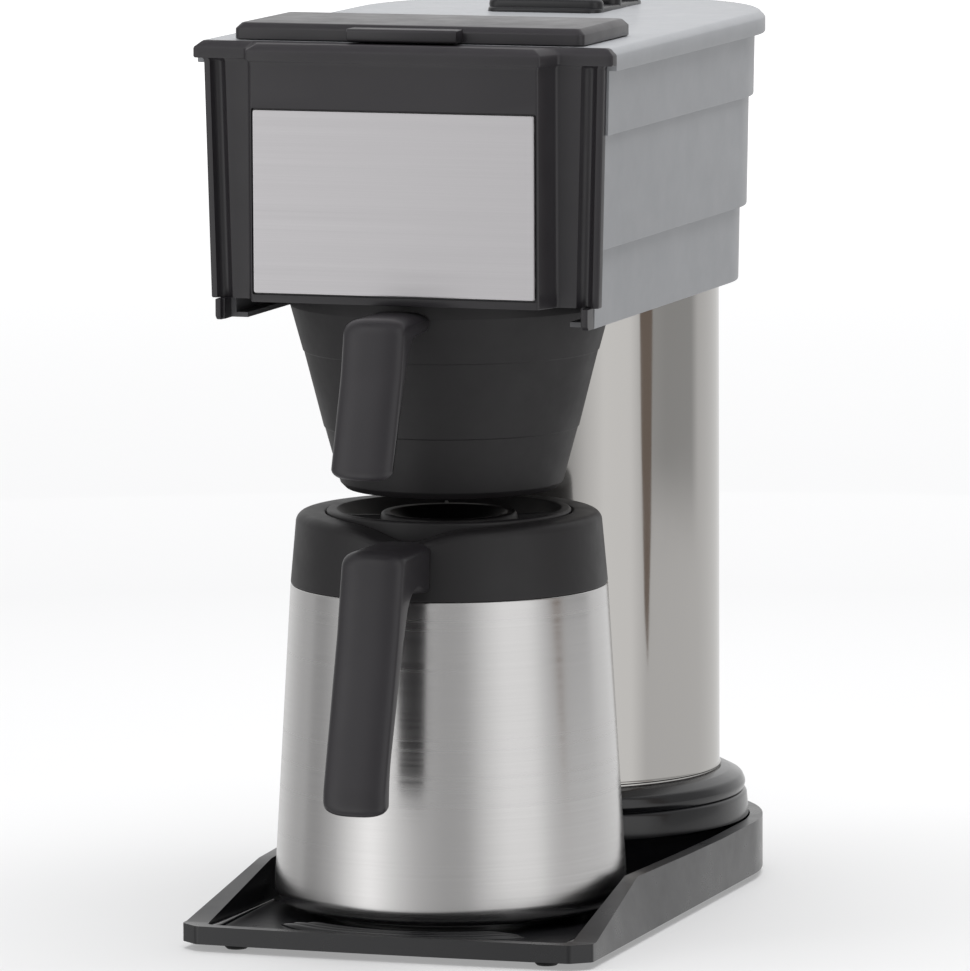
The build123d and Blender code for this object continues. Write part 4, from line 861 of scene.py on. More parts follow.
def fascia_half(half, lift=0.0, channel=2.9):
    """Right half in plan, back to centre: outer strip, hollow channel, flat, slope and raised middle."""
    panel = panel_y - lift
    middle = platform_y - lift
    points = [(half, fascia_high.y)]
    strip = [(half, fascia_high.y), (half, panel), (half - 4, panel)]
    points += rounded(strip, (0, 0.7, 0), closed=False, steps=3)[1:-1]
    for i in range(9):
        share = i / 8
        points.append((half - 2.6 - 6.8 * share, panel + channel * sin(pi * share) ** 0.8))
    slope_foot = (plate_half + 5.6 + lift, panel)
    slope_head = (plate_half + 1.3 + lift, middle)
    slope = [(half - 12, panel), slope_foot, slope_head, (0, middle)]
    points += rounded(slope, (0, 2.0, 1.3, 0), closed=False, steps=4)[:-1]
    points += [(plate_half * 0.5, middle)]
    return points


def build_fascia():
    def row(z, half, lift=0.0, channel=2.9):
        right = fascia_half(half, lift, channel)
        return [(x, y, z) for x, y in right] + [(-x, y, z) for x, y in reversed(right)]

    low_half, high_half = lip_half - tier_insets[1], lip_half - 4.2
    chamfer = 2.6
    top = fascia_high.z
    rows = []
    for rise, inset in ((0, 0.25), (0.5, 0)):
        rows.append(row(fascia_low.z + rise, low_half - inset, lift=-inset))
    for i in range(1, 9):
        share = i / 8
        z = fascia_low.z + 0.5 + (rim_low_z - 1.6 - fascia_low.z - 0.5) * share
        rows.append(row(z, low_half + (high_half - low_half) * share))
    for z, reach, lift, channel in (
        (rim_low_z - 0.6, high_half + 0.15, 0.15, 2.4),
        (rim_low_z, high_half + 0.6, 0.5, 1.4),
        (rim_low_z + 0.1, lip_half - 0.4, 1.0, 0.0),
        (rim_low_z + 0.6, lip_half, 1.3, 0.0),
        (top - chamfer - 0.5, lip_half, 1.3, 0.0),
        (top - chamfer + 0.2, lip_half - 0.3, 1.0, 0.0),
        (top - 0.4, lip_half - chamfer, 1.0 - chamfer, 0.0),
        (top, lip_half - chamfer - 0.7, 0.5 - chamfer, 0.0),
    ):
        rows.append(row(z, reach, lift, channel))
    fascia = loft("front_fascia", rows, "machine", "fascia", smooth=30)
    gap = 0.75
    outline = rounded(rectangle(-plate_half - gap, plate_low.z - gap, plate_half + gap, plate_high.z + gap),
                      (0.8,) * 4, steps=3)
    pocket = prism("pocket", outline, "XZ", platform_y - 5, platform_y + 1.2, "machine")
    cut(fascia, pocket)
    dress(fascia, "charcoal moulding")


def build_plate():
    """Blank plate with a bright bevelled edge, let into the fascia."""
    loops = []
    for inset, y in ((0.0, platform_y + 1.0), (0.0, plate_low.y + 0.55), (0.14, plate_low.y + 0.2),
                     (0.65, plate_low.y)):
        outline = rounded(
            rectangle(-plate_half + inset, plate_low.z + inset, plate_half - inset, plate_high.z - inset),
            (0.9,) * 4, steps=4)
        loops.append([(x, y, z) for x, z in outline])
    plate = flatten(loft("front_plate", loops, "machine", "badge_plate", smooth=25))
    dress(plate, "brushed plate")


# ---------------------------------------------------------------- fill lid
def slab_rows(outline_at, steps):
    """Rows of a slab from (inset, height) steps."""
    return [[(x, y, z) for x, y in outline_at(inset)] for inset, z in steps]


def build_fill_lid():
    half = lid_high.x
    front, back = lid_front, lid_back
    pin_low, pin_high = span("lid_hinge_pin")
    hinge_y, hinge_z = (pin_low.y + pin_high.y) / 2, (pin_low.z + pin_high.z) / 2
    under = vent_low.z + 0.3
    top = lid_high.z

    def outline(inset):
        return rounded(rectangle(-half + inset, front + inset, half - inset, back - inset),
                       (max(0.6, 3.0 - inset * 0.4),) * 4, steps=5)

    wall = 2.4
    rows = slab_rows(outline, (
        (wall + 1.2, top - wall - 0.8), (wall, under + 0.6), (wall, under), (0.3, under), (0.0, under + 0.3),
        (0.0, top - 2.7), (0.12, top - 2.4), (2.1, top - 0.35), (2.6, top - 0.08), (3.1, top)))
    lid = loft("water_lid", rows, "fill_lid", "fill_lid", smooth=24)
    tab_half = 23.6
    tab = prism(
        "tab", rounded([(lid_low.y, under + 0.5), (lid_low.y, top - 1.0), (front + 3.0, top - 1.0),
                        (front + 3.0, under + 0.5)], (0.9, 1.6, 0, 0), steps=4),
        "YZ", -tab_half, tab_half, "fill_lid")
    soften(tab, 0.7, segments=3, angle=50)
    stem_low, stem_high = span("valve_stem")
    valve = ((stem_low.x + stem_high.x) / 2, (stem_low.y + stem_high.y) / 2)
    pusher = loft("pusher", [
        [(valve[0] + x, valve[1] + y, z) for x, y in circle(r, 40)]
        for r, z in ((4.4, lid_low.z), (5.0, lid_low.z + 0.6), (5.0, top - wall - 0.6))], "fill_lid")
    knuckles = []
    for x in (-44.0, 44.0):
        barrel = arc((hinge_y, hinge_z), 3.0, -90, 90, 12)
        barrel += [(back - 1.0, hinge_z + 2.2), (back - 1.0, hinge_z - 2.2)]
        knuckles.append(prism("knuckle", barrel, "YZ", x - 7.0, x + 7.0, "fill_lid"))
    ribs = []
    for y in (front + 18.0, back - 18.0):
        web = rectangle(-half + wall + 0.5, under + 1.5, half - wall - 0.5, top - wall - 0.6)
        ribs.append(prism("rib", web, "XZ", y - 0.6, y + 0.6, "fill_lid"))
    join(lid, tab, pusher, *knuckles, *ribs)
    finish_edges(lid, 24)
    dress(lid, "lid moulding")


# ---------------------------------------------------------------- brew funnel
funnel_top_radius = 66.5
flange_mark = 999.0       # stands for the flange's edge, which lies at a different reach all round


def build_funnel():
    wall = unit(sizes().casing_wall)
    low_radius, high_radius = 46.2, funnel_top_radius
    floor_z = funnel_low.z + 4.0
    rim_z = fascia_low.z - 0.7
    flange_top = funnel_high.z
    flange_z = flange_top - 2.6
    lean = (high_radius - low_radius) / (flange_z - floor_z)
    height = rim_z - floor_z
    steps_z = [floor_z + 0.31 * height, floor_z + 0.70 * height]
    out_low, out_high = (low_radius + lean * (z - floor_z) for z in steps_z)
    flange_half = funnel_high.x
    front, rear = funnel_low.y + 44.0, funnel_y + high_radius - 2.0

    def flange_reach(angle):
        """From the axis to the flange's rounded square edge."""
        middle = (front + rear) / 2 - funnel_y
        half_y = (rear - front) / 2
        corner = 18.0
        best = high_radius + 0.05
        for i in range(60):
            reach = 60.0 + i * 0.75
            x, y = reach * cos(angle), reach * sin(angle) - middle
            dx = max(abs(x) - (flange_half - corner), 0)
            dy = max(abs(y) - (half_y - corner), 0)
            if hypot(dx, dy) <= corner:
                best = max(best, reach)
        return best

    outer = [
        (3.5, funnel_low.z), (7.0, funnel_low.z), (7.2, floor_z), (low_radius - 2.6, floor_z),
        (low_radius, floor_z + 2.6), (out_low - 0.5, steps_z[0]), (out_low, steps_z[0] + 0.5),
        (out_high - 0.5, steps_z[1]), (out_high, steps_z[1] + 0.5), (high_radius, flange_z)]
    radii = (0.4, 1.0, 1.0, 1.6, 1.4, 0.3, 0.3, 0.3, 0.3, 0)
    lip = [(flange_mark, flange_z), (flange_mark, flange_top), (high_radius, flange_top),
           (high_radius, rim_z)]
    inside = [
        (high_radius - wall, rim_z), (high_radius - wall - 0.3, flange_z), (low_radius - wall, floor_z + 8.0),
        (low_radius - wall - 3.0, floor_z + 4.0), (3.5, floor_z + 3.0)]
    body = rounded(outer + inside, (*radii, 0.6, 0.3, 3.0, 3.0, 0.6), steps=4)
    cut_at = max(i for i, (r, z) in enumerate(body)
                 if abs(r - high_radius) < 0.02 and abs(z - flange_z) < 0.02)
    profile = body[:cut_at + 1] + lip + body[cut_at + 1:]
    reaches = {}

    def flanged(angle, radius, z):
        if radius != flange_mark:
            return radius, z
        key = round(angle, 5)
        if key not in reaches:
            reaches[key] = flange_reach(angle)
        return reaches[key], z

    basket = lathe("funnel_basket", profile, funnel_y, "funnel", "brew_funnel",
                   turns=sizes().lathe_turns, shape=flanged, smooth=26)
    ribs = []
    for i in range(12):
        angle = 2 * pi * (i + 0.5) / 12
        across = Vector((cos(angle), sin(angle)))
        side = Vector((-across.y, across.x)) * 0.7
        loop = []
        for r, z in ((low_radius - wall - 1.6, floor_z + 9.0), (high_radius - wall - 1.8, flange_z - 8.0),
                     (high_radius - wall + 0.4, flange_z - 4.0), (low_radius - wall + 0.6, floor_z + 6.0)):
            loop.append((across * r, z))
        loops = [[(*(p + side * s + Vector((0, funnel_y))), z) for p, z in loop] for s in (-1, 1)]
        ribs.append(loft("rib", loops, "funnel"))
    join(basket, *ribs)
    finish_edges(basket, 26)
    dress(basket, "matte black moulding")


def grip_prism(name, outline, half, body, node):
    """A handle: its side outline pushed across, crowned all over and round along its edges."""
    reach = unit(sizes().grip_round)
    shares = [sin(pi / 2 * i / 10) for i in range(-10, 11)]
    count = len(outline)
    area = sum(outline[i - 1][0] * outline[i][1] - outline[i][0] * outline[i - 1][1] for i in range(count))
    turn = -1 if area > 0 else 1
    inward = []
    for i in range(count):
        along = (Vector(outline[(i + 1) % count]) - Vector(outline[i - 1])).normalized()
        inward.append(Vector((along.y, -along.x)) * turn)
    rows = []
    for share in shares:
        inset = reach * (1 - (1 - abs(share) ** 3) ** 0.5)
        rows.append([(half * share, y + n.x * inset, z + n.y * inset) for (y, z), n in zip(outline, inward)])
    return loft(name, rows, body, node, smooth=50)


def build_funnel_grip():
    front, low, high = funnel_grip_low.y - 4.0, funnel_grip_low.z - 2.2, funnel_grip_high.z
    top_front = front + 20.5
    root = funnel_y - funnel_top_radius + 1.5
    outline = rounded(
        [(root, high), (top_front - 1.0, high), (top_front - 5.5, high - 22.0), (front, low),
         (front + 10.0, low + 1.6), (top_front + 5.5, high - 26.0), (top_front + 13.0, high - 11.0),
         (root, high - 9.5)],
        (0, 8.0, 60.0, 4.6, 4.6, 30.0, 10.0, 0), steps=8)
    grip = grip_prism("funnel_grip", outline, funnel_grip_high.x, "funnel", "funnel_handle")
    dress(grip, "grip moulding")


# ---------------------------------------------------------------- carafe
def build_carafe_body():
    """Steel body: a rolled foot, straight leaning wall and a tucked shoulder."""
    top_radius = rim_radius_low
    z0, z1 = carafe_low.z, carafe_high.z
    foot = 7.5
    outer = [
        (carafe_radius - foot - 6.0, z0), (carafe_radius + 1.6, z0), (top_radius, z1), (46.0, z1)]
    profile = rounded(outer, (0, foot, 0.9, 0), closed=False, steps=10)
    rows = []
    for a, b in zip(profile, profile[1:]):
        rows.append(a)
        if hypot(b[0] - a[0], b[1] - a[1]) > 40 and abs(b[1] - a[1]) > 40:
            rows += [(a[0] + (b[0] - a[0]) * i / 10, a[1] + (b[1] - a[1]) * i / 10) for i in range(1, 10)]
    rows.append(profile[-1])
    wall = 0.8
    inner = [(46.0, z1 - wall), (top_radius - 1.4, z1 - wall), (carafe_radius - wall - 0.4, z0 + foot),
             (carafe_radius - foot, z0 + wall), (carafe_radius - foot - 6.0, z0 + wall)]
    body = lathe("carafe_body", rows + inner, carafe_y, "carafe", "carafe_shell", turns=256, smooth=40)
    dress(body, "brushed carafe steel")


rim_radius_low = 65.8
rim_radius_high = 63.4
seat_radius = 51.0
rim_crown_z = rim_high.z - 3.0
seat_z = rim_crown_z - 16.0    # floor of the seat that the carafe's lid rests in


def dip(angle, depth, spread):
    """How far the rim's crown drops towards the handle, which points to the front."""
    off = (angle - 1.5 * pi + pi) % (2 * pi) - pi
    return depth * exp(-(off / radians(spread)) ** 2)


def build_carafe_rim():
    edge_z = rim_crown_z - 3.4
    profile = rounded(
        [(46.0, rim_low.z), (rim_radius_low, rim_low.z), (rim_radius_high, edge_z),
         (rim_radius_high - 1.2, rim_crown_z), (seat_radius, rim_crown_z), (seat_radius, seat_z),
         (46.0, seat_z)],
        (0, 0.7, 4.0, 4.4, 1.2, 0, 0), steps=7)

    def channelled(angle, radius, z):
        if z > edge_z - 7.0 and radius > seat_radius - 0.2:
            share = min(1.0, (z - edge_z + 7.0) / 8.0)
            fall = dip(angle, 5.2, 15.0) * share
            wide = dip(angle, 1.8, 36.0) * share
            return radius, z - fall - wide
        return radius, z

    rim = lathe("carafe_rim", profile, carafe_y, "carafe", "carafe_collar",
                turns=256, shape=channelled, smooth=34)
    half = 15.0
    rows = []
    for i in range(17):
        share = -1 + 2 * i / 16
        x = half * share
        lift = 1 - share * share
        base_y = carafe_y + sqrt(max(1.0, (rim_radius_high - 2.5) ** 2 - x * x))
        rows.append([
            (x, base_y - 5.0, rim_crown_z - 0.6), (x, base_y + 0.6, rim_crown_z - 3.2),
            (x, base_y + 1.0 + 3.6 * lift, rim_crown_z - 0.4 + 2.8 * lift),
            (x, base_y + 0.6 + 3.4 * lift, rim_crown_z + 0.1 + 2.9 * lift),
            (x, base_y - 0.6 + 2.2 * lift, rim_crown_z + 2.7 * lift),
            (x, base_y - 4.0, rim_crown_z + 0.05)])
    spout = loft("spout", rows, "carafe", smooth=60)
    join(rim, spout)
    finish_edges(rim, 34)
    dress(rim, "collar moulding")


def build_carafe_grip():
    front, low, high = grip_low.y, grip_low.z - 2.3, grip_high.z
    root = carafe_y - rim_radius_high + 1.8
    upper = front + 25.0
    outline = rounded(
        [(root, high - 1.6), (upper + 1.0, high - 1.2), (upper - 6.5, high - 34.0), (front, low + 12.0),
         (front, low), (front + 12.0, low + 3.2), (front + 13.6, low + 20.0), (upper + 6.0, high - 40.0),
         (upper + 15.0, high - 20.0), (root, high - 23.0)],
        (0, 8.0, 90.0, 20.0, 6.0, 5.0, 60.0, 40.0, 12.0, 0), steps=9)
    grip = grip_prism("carafe_grip", outline, grip_high.x, "carafe", "carafe_handle")
    dress(grip, "grip moulding")


def build_stopper():
    """Brew-through lid: outer ring, dish, raised middle ring and turning ribs."""
    ring_z = stopper_high.z
    base_z = seat_z + 0.3
    edge = stopper_high.x
    profile = rounded(
        [(8.0, stopper_low.z), (40.0, stopper_low.z), (40.0, base_z), (edge, base_z), (edge, ring_z),
         (edge - 4.2, ring_z), (34.5, ring_z - 8.5), (30.6, ring_z - 8.5), (27.6, ring_z - 1.2),
         (24.4, ring_z - 1.6), (11.0, ring_z - 10.8), (8.0, ring_z - 11.4)],
        (0, 1.0, 0, 1.0, 1.2, 1.4, 3.0, 2.0, 1.5, 1.3, 2.0, 0.5), steps=6)
    stopper = lathe("carafe_stopper", profile, carafe_y, "carafe_lid", "carafe_lid", turns=192, smooth=34)
    ribs = []
    for i in range(4):
        angle = radians(20 + 90 * i)
        across = Vector((cos(angle), sin(angle)))
        side = Vector((-across.y, across.x))
        loops = []
        for s, drop in ((-1.0, 0.8), (-0.6, 0.0), (0.6, 0.0), (1.0, 0.8)):
            line = [(28.6, ring_z - 9.4), (44.5, ring_z - 6.0), (44.8, ring_z - 2.4 - drop),
                    (28.6, ring_z - 2.6 - drop)]
            loops.append([(*(across * r + side * s + Vector((0, carafe_y))), z) for r, z in line])
        ribs.append(loft("rib", loops, "carafe_lid"))
    join(stopper, *ribs)
    finish_edges(stopper, 34)
    dress(stopper, "collar moulding")


# ---------------------------------------------------------------- switch, gland and small pieces
def build_switch():
    low, high = span("switch_bezel")
    rocker_low, rocker_high = span("rocker_switch")
    middle_y = (low.y + high.y) / 2
    middle_z = (low.z + high.z) / 2
    outline = rounded(rectangle(low.y, low.z, high.y, high.z), (2,) * 4, steps=5)

    def middling(half_y, half_z):
        """A small rounded outline about the switch's middle."""
        return rounded(rectangle(middle_y - half_y, middle_z - half_z, middle_y + half_y, middle_z + half_z),
                       (1,) * 4, steps=5)

    def scaled(point, by_y, by_z):
        return middle_y + (point[0] - middle_y) * by_y, middle_z + (point[1] - middle_z) * by_z

    window, neck = middling(9, 5), middling(10.8, 6.8)
    face = low.x
    back = -base_half
    loops = [[(back, y, z) for y, z in outline], [(face + 0.3, y, z) for y, z in outline],
             [(face, *scaled(point, 0.975, 0.96)) for point in outline],
             [(face, *scaled(point, 1.02, 1.04)) for point in window],
             [(face + 0.4, y, z) for y, z in window], [(high.x - 1.6, y, z) for y, z in window]]
    shut = [[(high.x, y, z) for y, z in neck], [(back, y, z) for y, z in neck]]
    bezel = loft("switch_surround", shut + loops, "machine", "switch_bezel", smooth=40)
    dress(bezel, "gloss black moulding")
    half = (rocker_high.z - rocker_low.z - 2.4 - 0.8) / 2
    arm = 7.2
    rise = 1.0
    mid = -base_half + 0.6
    points = [(mid + 8.4, middle_y - 3.0), (mid + 1.4 + rise, middle_y - arm), (mid + rise, middle_y - arm)]
    for i in range(1, 12):
        share = i / 12
        bow = 0.9 * sin(pi * share)
        points.append((mid + rise - 2 * rise * share + bow * 0.5, middle_y - arm + 2 * arm * share))
    points += [(mid - rise, middle_y + arm), (mid + 1.4 - rise, middle_y + arm), (mid + 8.4, middle_y + 3.0)]
    button = prism("rocker_button", points, "XY", middle_z - half, middle_z + half, "rocker", "rocker_switch")
    soften(button, 0.35, segments=2, angle=45)
    dress(button, "satin black moulding")


def build_gland():
    low, high = span("cord_gland")
    middle_z = (low.z + high.z) / 2
    wide = high.x
    profile = rounded(
        [(3.5, low.y), (6.0, low.y), (6.0, high.y - 1.3), (wide, high.y - 1.3), (wide - 0.3, high.y),
         (4.2, high.y), (3.5, high.y - 1.0)], (0, 0, 0.2, 0.3, 0.6, 0.3, 0), steps=4)
    loops = [[(x, y, middle_z + z) for x, z in circle(r, 72)] for r, y in profile]
    gland = loft("cord_outlet", loops, "machine", "cord_gland", ring=True)
    dress(gland, "foot rubber")


INNER_FINISHES = {
    "base_plate": "grey sheet plate", "feet": "foot rubber", "base_screws": "plain steel",
    "water_tank": "tank steel", "tank_insulation": "insulation felt", "tank_gasket": "silicone",
    "tank_lid": "clear grey moulding", "heating_element": "tank steel", "thermostat": "white moulding",
    "lid_hinge_pin": "plain steel", "hood_floor": "grey sheet plate", "hood_pan": "grey sheet plate",
    "funnel_rails": "grey sheet plate", "reservoir": "clear grey moulding", "valve_guide": "white moulding",
    "valve_spring": "spring steel", "valve_stem": "white moulding", "fill_tube": "silicone",
    "spray_tube": "silicone", "spray_head": "white moulding", "carafe_base": "brushed carafe steel",
    "carafe_liner": "tank steel", "handle_screw": "plain steel", "carafe_lid_seal": "silicone",
}


def build_inner_finishes():
    for node, kind in INNER_FINISHES.items():
        dress_node(node, kind)


# ---------------------------------------------------------------- studio
camera_place = Vector((1.2285118, -3.6952149, 0.664364))
camera_turn = 0.3215      # round to the right of the front
camera_tilt = 0.1242      # above the horizon
camera_roll = -0.0047
camera_lens = 346.77


def build_camera():
    level_back = cos(camera_tilt)
    back = Vector((sin(camera_turn) * level_back, -cos(camera_turn) * level_back, sin(camera_tilt)))
    right = Vector((cos(camera_turn), sin(camera_turn), 0))
    up = back.cross(right)
    level = right * cos(camera_roll) + up * sin(camera_roll)
    over = up * cos(camera_roll) - right * sin(camera_roll)
    camera = bpy.data.objects.new("camera", bpy.data.cameras.new("camera"))
    camera.data.lens = camera_lens
    camera.data.sensor_width = 36
    camera.data.clip_end = 60
    turn = Matrix((level, over, back)).transposed().to_4x4()
    camera.matrix_world = Matrix.Translation(camera_place) @ turn
    bpy.context.scene.collection.objects.link(camera)
    bpy.context.scene.camera = camera


def soft_light(name, place, aim, width, height, power):
    light = bpy.data.lights.new(name, "AREA")
    light.shape = "RECTANGLE"
    light.size, light.size_y = width, height
    light.energy = power
    lamp = bpy.data.objects.new(name, light)
    bpy.context.scene.collection.objects.link(lamp)
    lamp.location = place
    lamp.rotation_euler = (Vector(aim) - Vector(place)).to_track_quat("-Z", "Y").to_euler()
    lamp.visible_glossy = False


def build_floor():
    """Pale floor that glows more the further it is, so that it stays pale as far as it shows."""
    mesh = bpy.data.meshes.new("floor")
    reach = 14.0
    build = bmesh.new()
    corners = [build.verts.new((x * reach, y * reach, 0)) for x, y in ((-1, -1), (1, -1), (1, 1), (-1, 1))]
    build.faces.new(corners)
    build.to_mesh(mesh)
    build.free()
    floor = bpy.data.objects.new("floor", mesh)
    bpy.context.scene.collection.objects.link(floor)
    floor.visible_glossy = False
    pale = Finish("pale floor", (0.50, 0.50, 0.503), 0.7, specular=0.1)
    pale.vary_roughness(pale.noise(3), -0.05, 0.05)
    pale.shader.inputs["Emission Color"].default_value = (1, 1, 1, 1)
    away = pale.node("ShaderNodeVectorMath", operation="LENGTH")
    pale.link(pale.where, away.inputs["Vector"])
    pale.link(pale.spread(away.outputs["Value"], *floor_glow, start=1.0, end=4.0),
              pale.shader.inputs["Emission Strength"])
    mesh.materials.append(pale.material)


floor_glow = (0.30, 1.05)
tent_radius = 1.4
tent_reach = 3.0
# direction round the object, in degrees from the front towards +X, and the tent's brightness there
tent_panels = (
    (-90, 0.34), (-78, 0.32), (-62, 0.50), (-47, 0.88), (-34, 1.20), (-17, 0.76), (-3, 0.52), (14, 0.40),
    (28, 0.42), (41, 0.72), (54, 0.92), (74, 0.90), (86, 0.60), (92, 0.42), (104, 0.38), (130, 0.38),
    (138, 0.62), (180, 0.78), (228, 0.70), (256, 0.46),
)
# below the floor's level the right side is never darker than this
tent_foot_least = 0.66
tent_foot_panels = tuple((d, max(b, tent_foot_least) if 80 < d < 140 else b) for d, b in tent_panels)


def only_in_gloss(card):
    card.visible_camera = False
    card.visible_diffuse = False
    card.visible_shadow = False
    card.visible_transmission = False


def glowing(name):
    """A material that only glows, and the node that sets its glow."""
    material = bpy.data.materials.new(name)
    material.use_nodes = True
    material.cycles.emission_sampling = "NONE"
    tree = material.node_tree
    tree.nodes.clear()
    glow = tree.nodes.new("ShaderNodeEmission")
    out = tree.nodes.new("ShaderNodeOutputMaterial")
    tree.links.new(glow.outputs["Emission"], out.inputs["Surface"])
    return material, glow


def build_card():
    """A dark tapering card that gives the polished column its one crisp dark band."""
    middle, across = Vector((0.489, 0.006)), Vector((0.208, 0.978))
    outline = [(-0.046, 0.75), (0.046, 0.75), (0.046, 0.20), (0.030, 0.10), (0.006, 0.035), (-0.016, 0.06),
               (-0.034, 0.14), (-0.046, 0.24)]
    mesh = bpy.data.meshes.new("dark card")
    mesh.from_pydata([(*(middle + across * a), z) for a, z in outline], [], [tuple(range(len(outline)))])
    card = bpy.data.objects.new("dark card", mesh)
    bpy.context.scene.collection.objects.link(card)
    only_in_gloss(card)
    material, glow = glowing("dark card")
    glow.inputs["Color"].default_value = (0.21, 0.17, 0.145, 1)
    mesh.materials.append(material)


def build_tent():
    """A ring of soft panels that shows only in gloss, as the cards round a studio table do."""
    count = 96
    loops = [[(x, y, z) for x, y in circle(tent_radius, count)] for z in (-tent_reach, tent_reach)]
    mesh = bpy.data.meshes.new("tent")
    mesh.from_pydata([p for loop in loops for p in loop], [], skin_faces(2, count, caps=(False, False)))
    tent = bpy.data.objects.new("tent", mesh)
    bpy.context.scene.collection.objects.link(tent)
    only_in_gloss(tent)
    material, glow = glowing("tent panels")
    tree = material.node_tree
    where = tree.nodes.new("ShaderNodeTexCoord")
    turn = tree.nodes.new("ShaderNodeTexGradient")
    turn.gradient_type = "RADIAL"
    height = tree.nodes.new("ShaderNodeSeparateXYZ")
    above = tree.nodes.new("ShaderNodeMapRange")
    above.inputs["From Min"].default_value = -0.02
    above.inputs["From Max"].default_value = 0.02
    level = tree.nodes.new("ShaderNodeMix")
    level.data_type = "RGBA"
    tree.links.new(where.outputs["Object"], turn.inputs["Vector"])
    for panels, socket in ((tent_foot_panels, "A"), (tent_panels, "B")):
        ramp = tree.nodes.new("ShaderNodeValToRGB")
        stops = ramp.color_ramp.elements
        while len(stops) > 1:
            stops.remove(stops[-1])
        for index, (direction, bright) in enumerate(panels):
            place = (direction + 90) / 360
            stop = stops[0] if index == 0 else stops.new(place)
            stop.position = place
            stop.color = (bright, bright, bright, 1)
        tree.links.new(turn.outputs["Fac"], ramp.inputs["Fac"])
        tree.links.new(ramp.outputs["Color"], level.inputs[socket])
    tree.links.new(where.outputs["Object"], height.inputs["Vector"])
    tree.links.new(height.outputs["Z"], above.inputs["Value"])
    tree.links.new(above.outputs["Result"], level.inputs["Factor"])
    tree.links.new(level.outputs["Result"], glow.inputs["Color"])
    mesh.materials.append(material)


def build_world():
    world = bpy.data.worlds.new("studio")
    bpy.context.scene.world = world
    world.use_nodes = True
    tree = world.node_tree
    tree.nodes["Background"].inputs["Color"].default_value = (0.97, 0.98, 1, 1)
    tree.nodes["Background"].inputs["Strength"].default_value = 0.25
    bpy.context.scene.view_settings.view_transform = "Standard"


def build_lights():
    soft_light("overhead", place=(0.1, 0.3, 2.3), aim=(0, 0.1, 0.2), width=2.4, height=2.4, power=80)
    soft_light("left window", place=(-2.2, -1.6, 1.4), aim=(0, 0, 0.25), width=1.2, height=1.6, power=16)


# ---------------------------------------------------------------- operators
class BuildPieces:
    """What every operator here shares."""

    bl_options = {"REGISTER", "UNDO"}
    builders = ()

    def execute(self, context):
        for build in self.builders:
            build()
        return {"FINISHED"}


class BREWER_OT_stage(BuildPieces, bpy.types.Operator):
    """Adds the floor, the soft lights and the camera"""

    bl_idname = "brewer.stage"
    bl_label = "Studio"
    builders = (build_world, build_lights, build_floor, build_tent, build_card, build_camera)


class BREWER_OT_tray(BuildPieces, bpy.types.Operator):
    """Builds the tray and its ribs"""

    bl_idname = "brewer.tray"
    bl_label = "Tray"
    builders = (build_tray, build_tray_ribs)


class BREWER_OT_column(BuildPieces, bpy.types.Operator):
    """Builds the column tube and the rings at its foot"""

    bl_idname = "brewer.column"
    bl_label = "Column"
    builders = (build_rings, build_column)


class BREWER_OT_hood(BuildPieces, bpy.types.Operator):
    """Builds the hood casing and its steam vent"""

    bl_idname = "brewer.hood"
    bl_label = "Hood"
    builders = (build_hood, build_cheeks, build_vent)


class BREWER_OT_fascia(BuildPieces, bpy.types.Operator):
    """Builds the fascia and its blank plate"""

    bl_idname = "brewer.fascia"
    bl_label = "Fascia"
    builders = (build_fascia, build_plate)


class BREWER_OT_fill_lid(BuildPieces, bpy.types.Operator):
    """Builds the hinged water lid"""

    bl_idname = "brewer.fill_lid"
    bl_label = "Fill lid"
    builders = (build_fill_lid,)


class BREWER_OT_funnel(BuildPieces, bpy.types.Operator):
    """Builds the brew funnel and its grip"""

    bl_idname = "brewer.funnel"
    bl_label = "Brew funnel"
    builders = (build_funnel, build_funnel_grip)


class BREWER_OT_carafe(BuildPieces, bpy.types.Operator):
    """Builds the carafe's steel body, rim and grip"""

    bl_idname = "brewer.carafe"
    bl_label = "Carafe"
    builders = (build_carafe_body, build_carafe_rim, build_carafe_grip)


class BREWER_OT_stopper(BuildPieces, bpy.types.Operator):
    """Builds the carafe's brew-through lid"""

    bl_idname = "brewer.stopper"
    bl_label = "Carafe lid"
    builders = (build_stopper,)


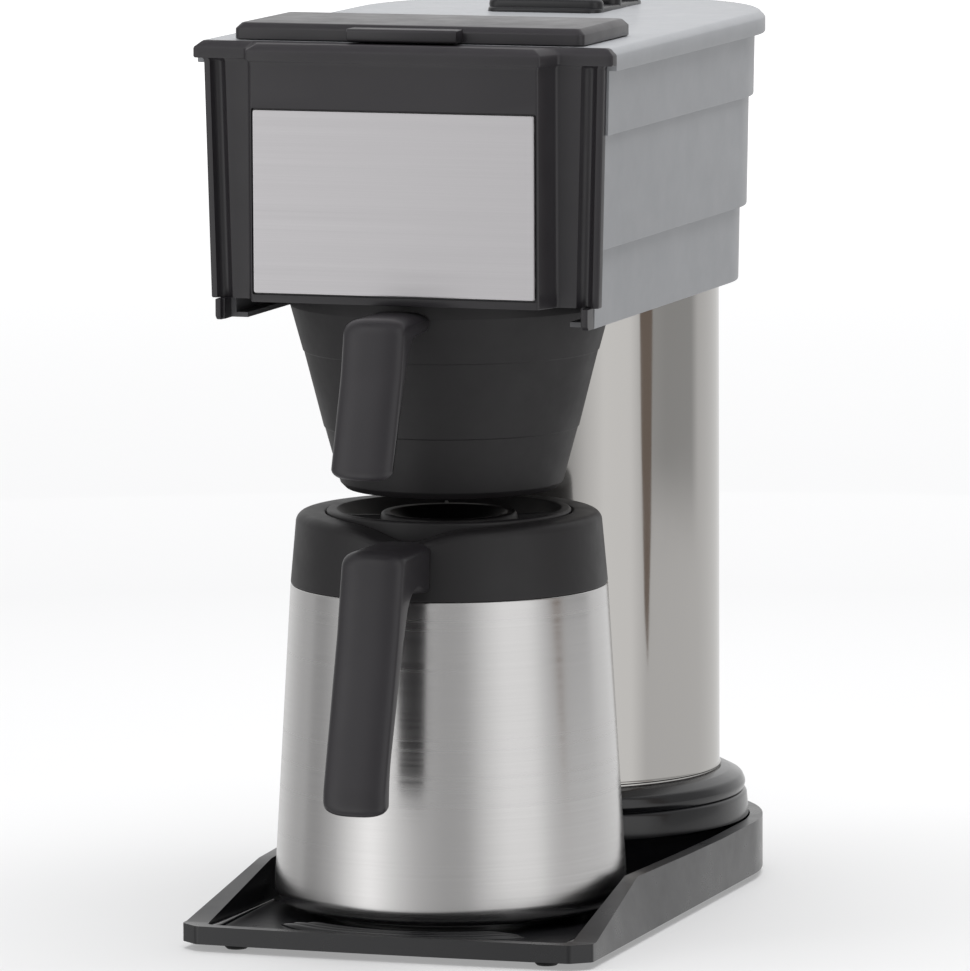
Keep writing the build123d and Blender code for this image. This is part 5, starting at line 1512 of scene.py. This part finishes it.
class BREWER_OT_switch(BuildPieces, bpy.types.Operator):
    """Builds the rocker switch and the cord's outlet"""

    bl_idname = "brewer.switch"
    bl_label = "Switch and outlet"
    builders = (build_switch, build_gland)


class BREWER_OT_inner(BuildPieces, bpy.types.Operator):
    """Gives the inner CAD pieces their finishes"""

    bl_idname = "brewer.inner"
    bl_label = "Inner pieces"
    builders = (build_inner_finishes,)


class BREWER_PT_panel(bpy.types.Panel):
    """Lists the sizes, the colours and the pieces"""

    bl_idname = "BREWER_PT_panel"
    bl_label = "Drip coffee maker"
    bl_space_type = "VIEW_3D"
    bl_region_type = "UI"
    bl_category = "Brewer"

    def draw(self, context):
        for group in (context.scene.brewer_sizes, context.scene.brewer_colours):
            for name in group.__annotations__:
                self.layout.prop(group, name)
        for operator in OPERATORS:
            self.layout.operator(operator.bl_idname)


OPERATORS = (
    BREWER_OT_stage, BREWER_OT_tray, BREWER_OT_column, BREWER_OT_hood, BREWER_OT_fascia,
    BREWER_OT_fill_lid, BREWER_OT_funnel, BREWER_OT_carafe, BREWER_OT_stopper, BREWER_OT_switch,
    BREWER_OT_inner,
)
CLASSES = (BrewerSizes, BrewerColours, *OPERATORS, BREWER_PT_panel)


def register():
    for kind in CLASSES:
        bpy.utils.register_class(kind)
    bpy.types.Scene.brewer_sizes = bpy.props.PointerProperty(type=BrewerSizes)
    bpy.types.Scene.brewer_colours = bpy.props.PointerProperty(type=BrewerColours)


def unregister():
    del bpy.types.Scene.brewer_colours
    del bpy.types.Scene.brewer_sizes
    for kind in reversed(CLASSES):
        bpy.utils.unregister_class(kind)


def main():
    register()
    bpy.ops.brewer.stage()
    bpy.ops.brewer.tray()
    bpy.ops.brewer.column()
    bpy.ops.brewer.hood()
    bpy.ops.brewer.fascia()
    bpy.ops.brewer.fill_lid()
    bpy.ops.brewer.funnel()
    bpy.ops.brewer.carafe()
    bpy.ops.brewer.stopper()
    bpy.ops.brewer.switch()
    bpy.ops.brewer.inner()


if __name__ == "__main__":
    main()
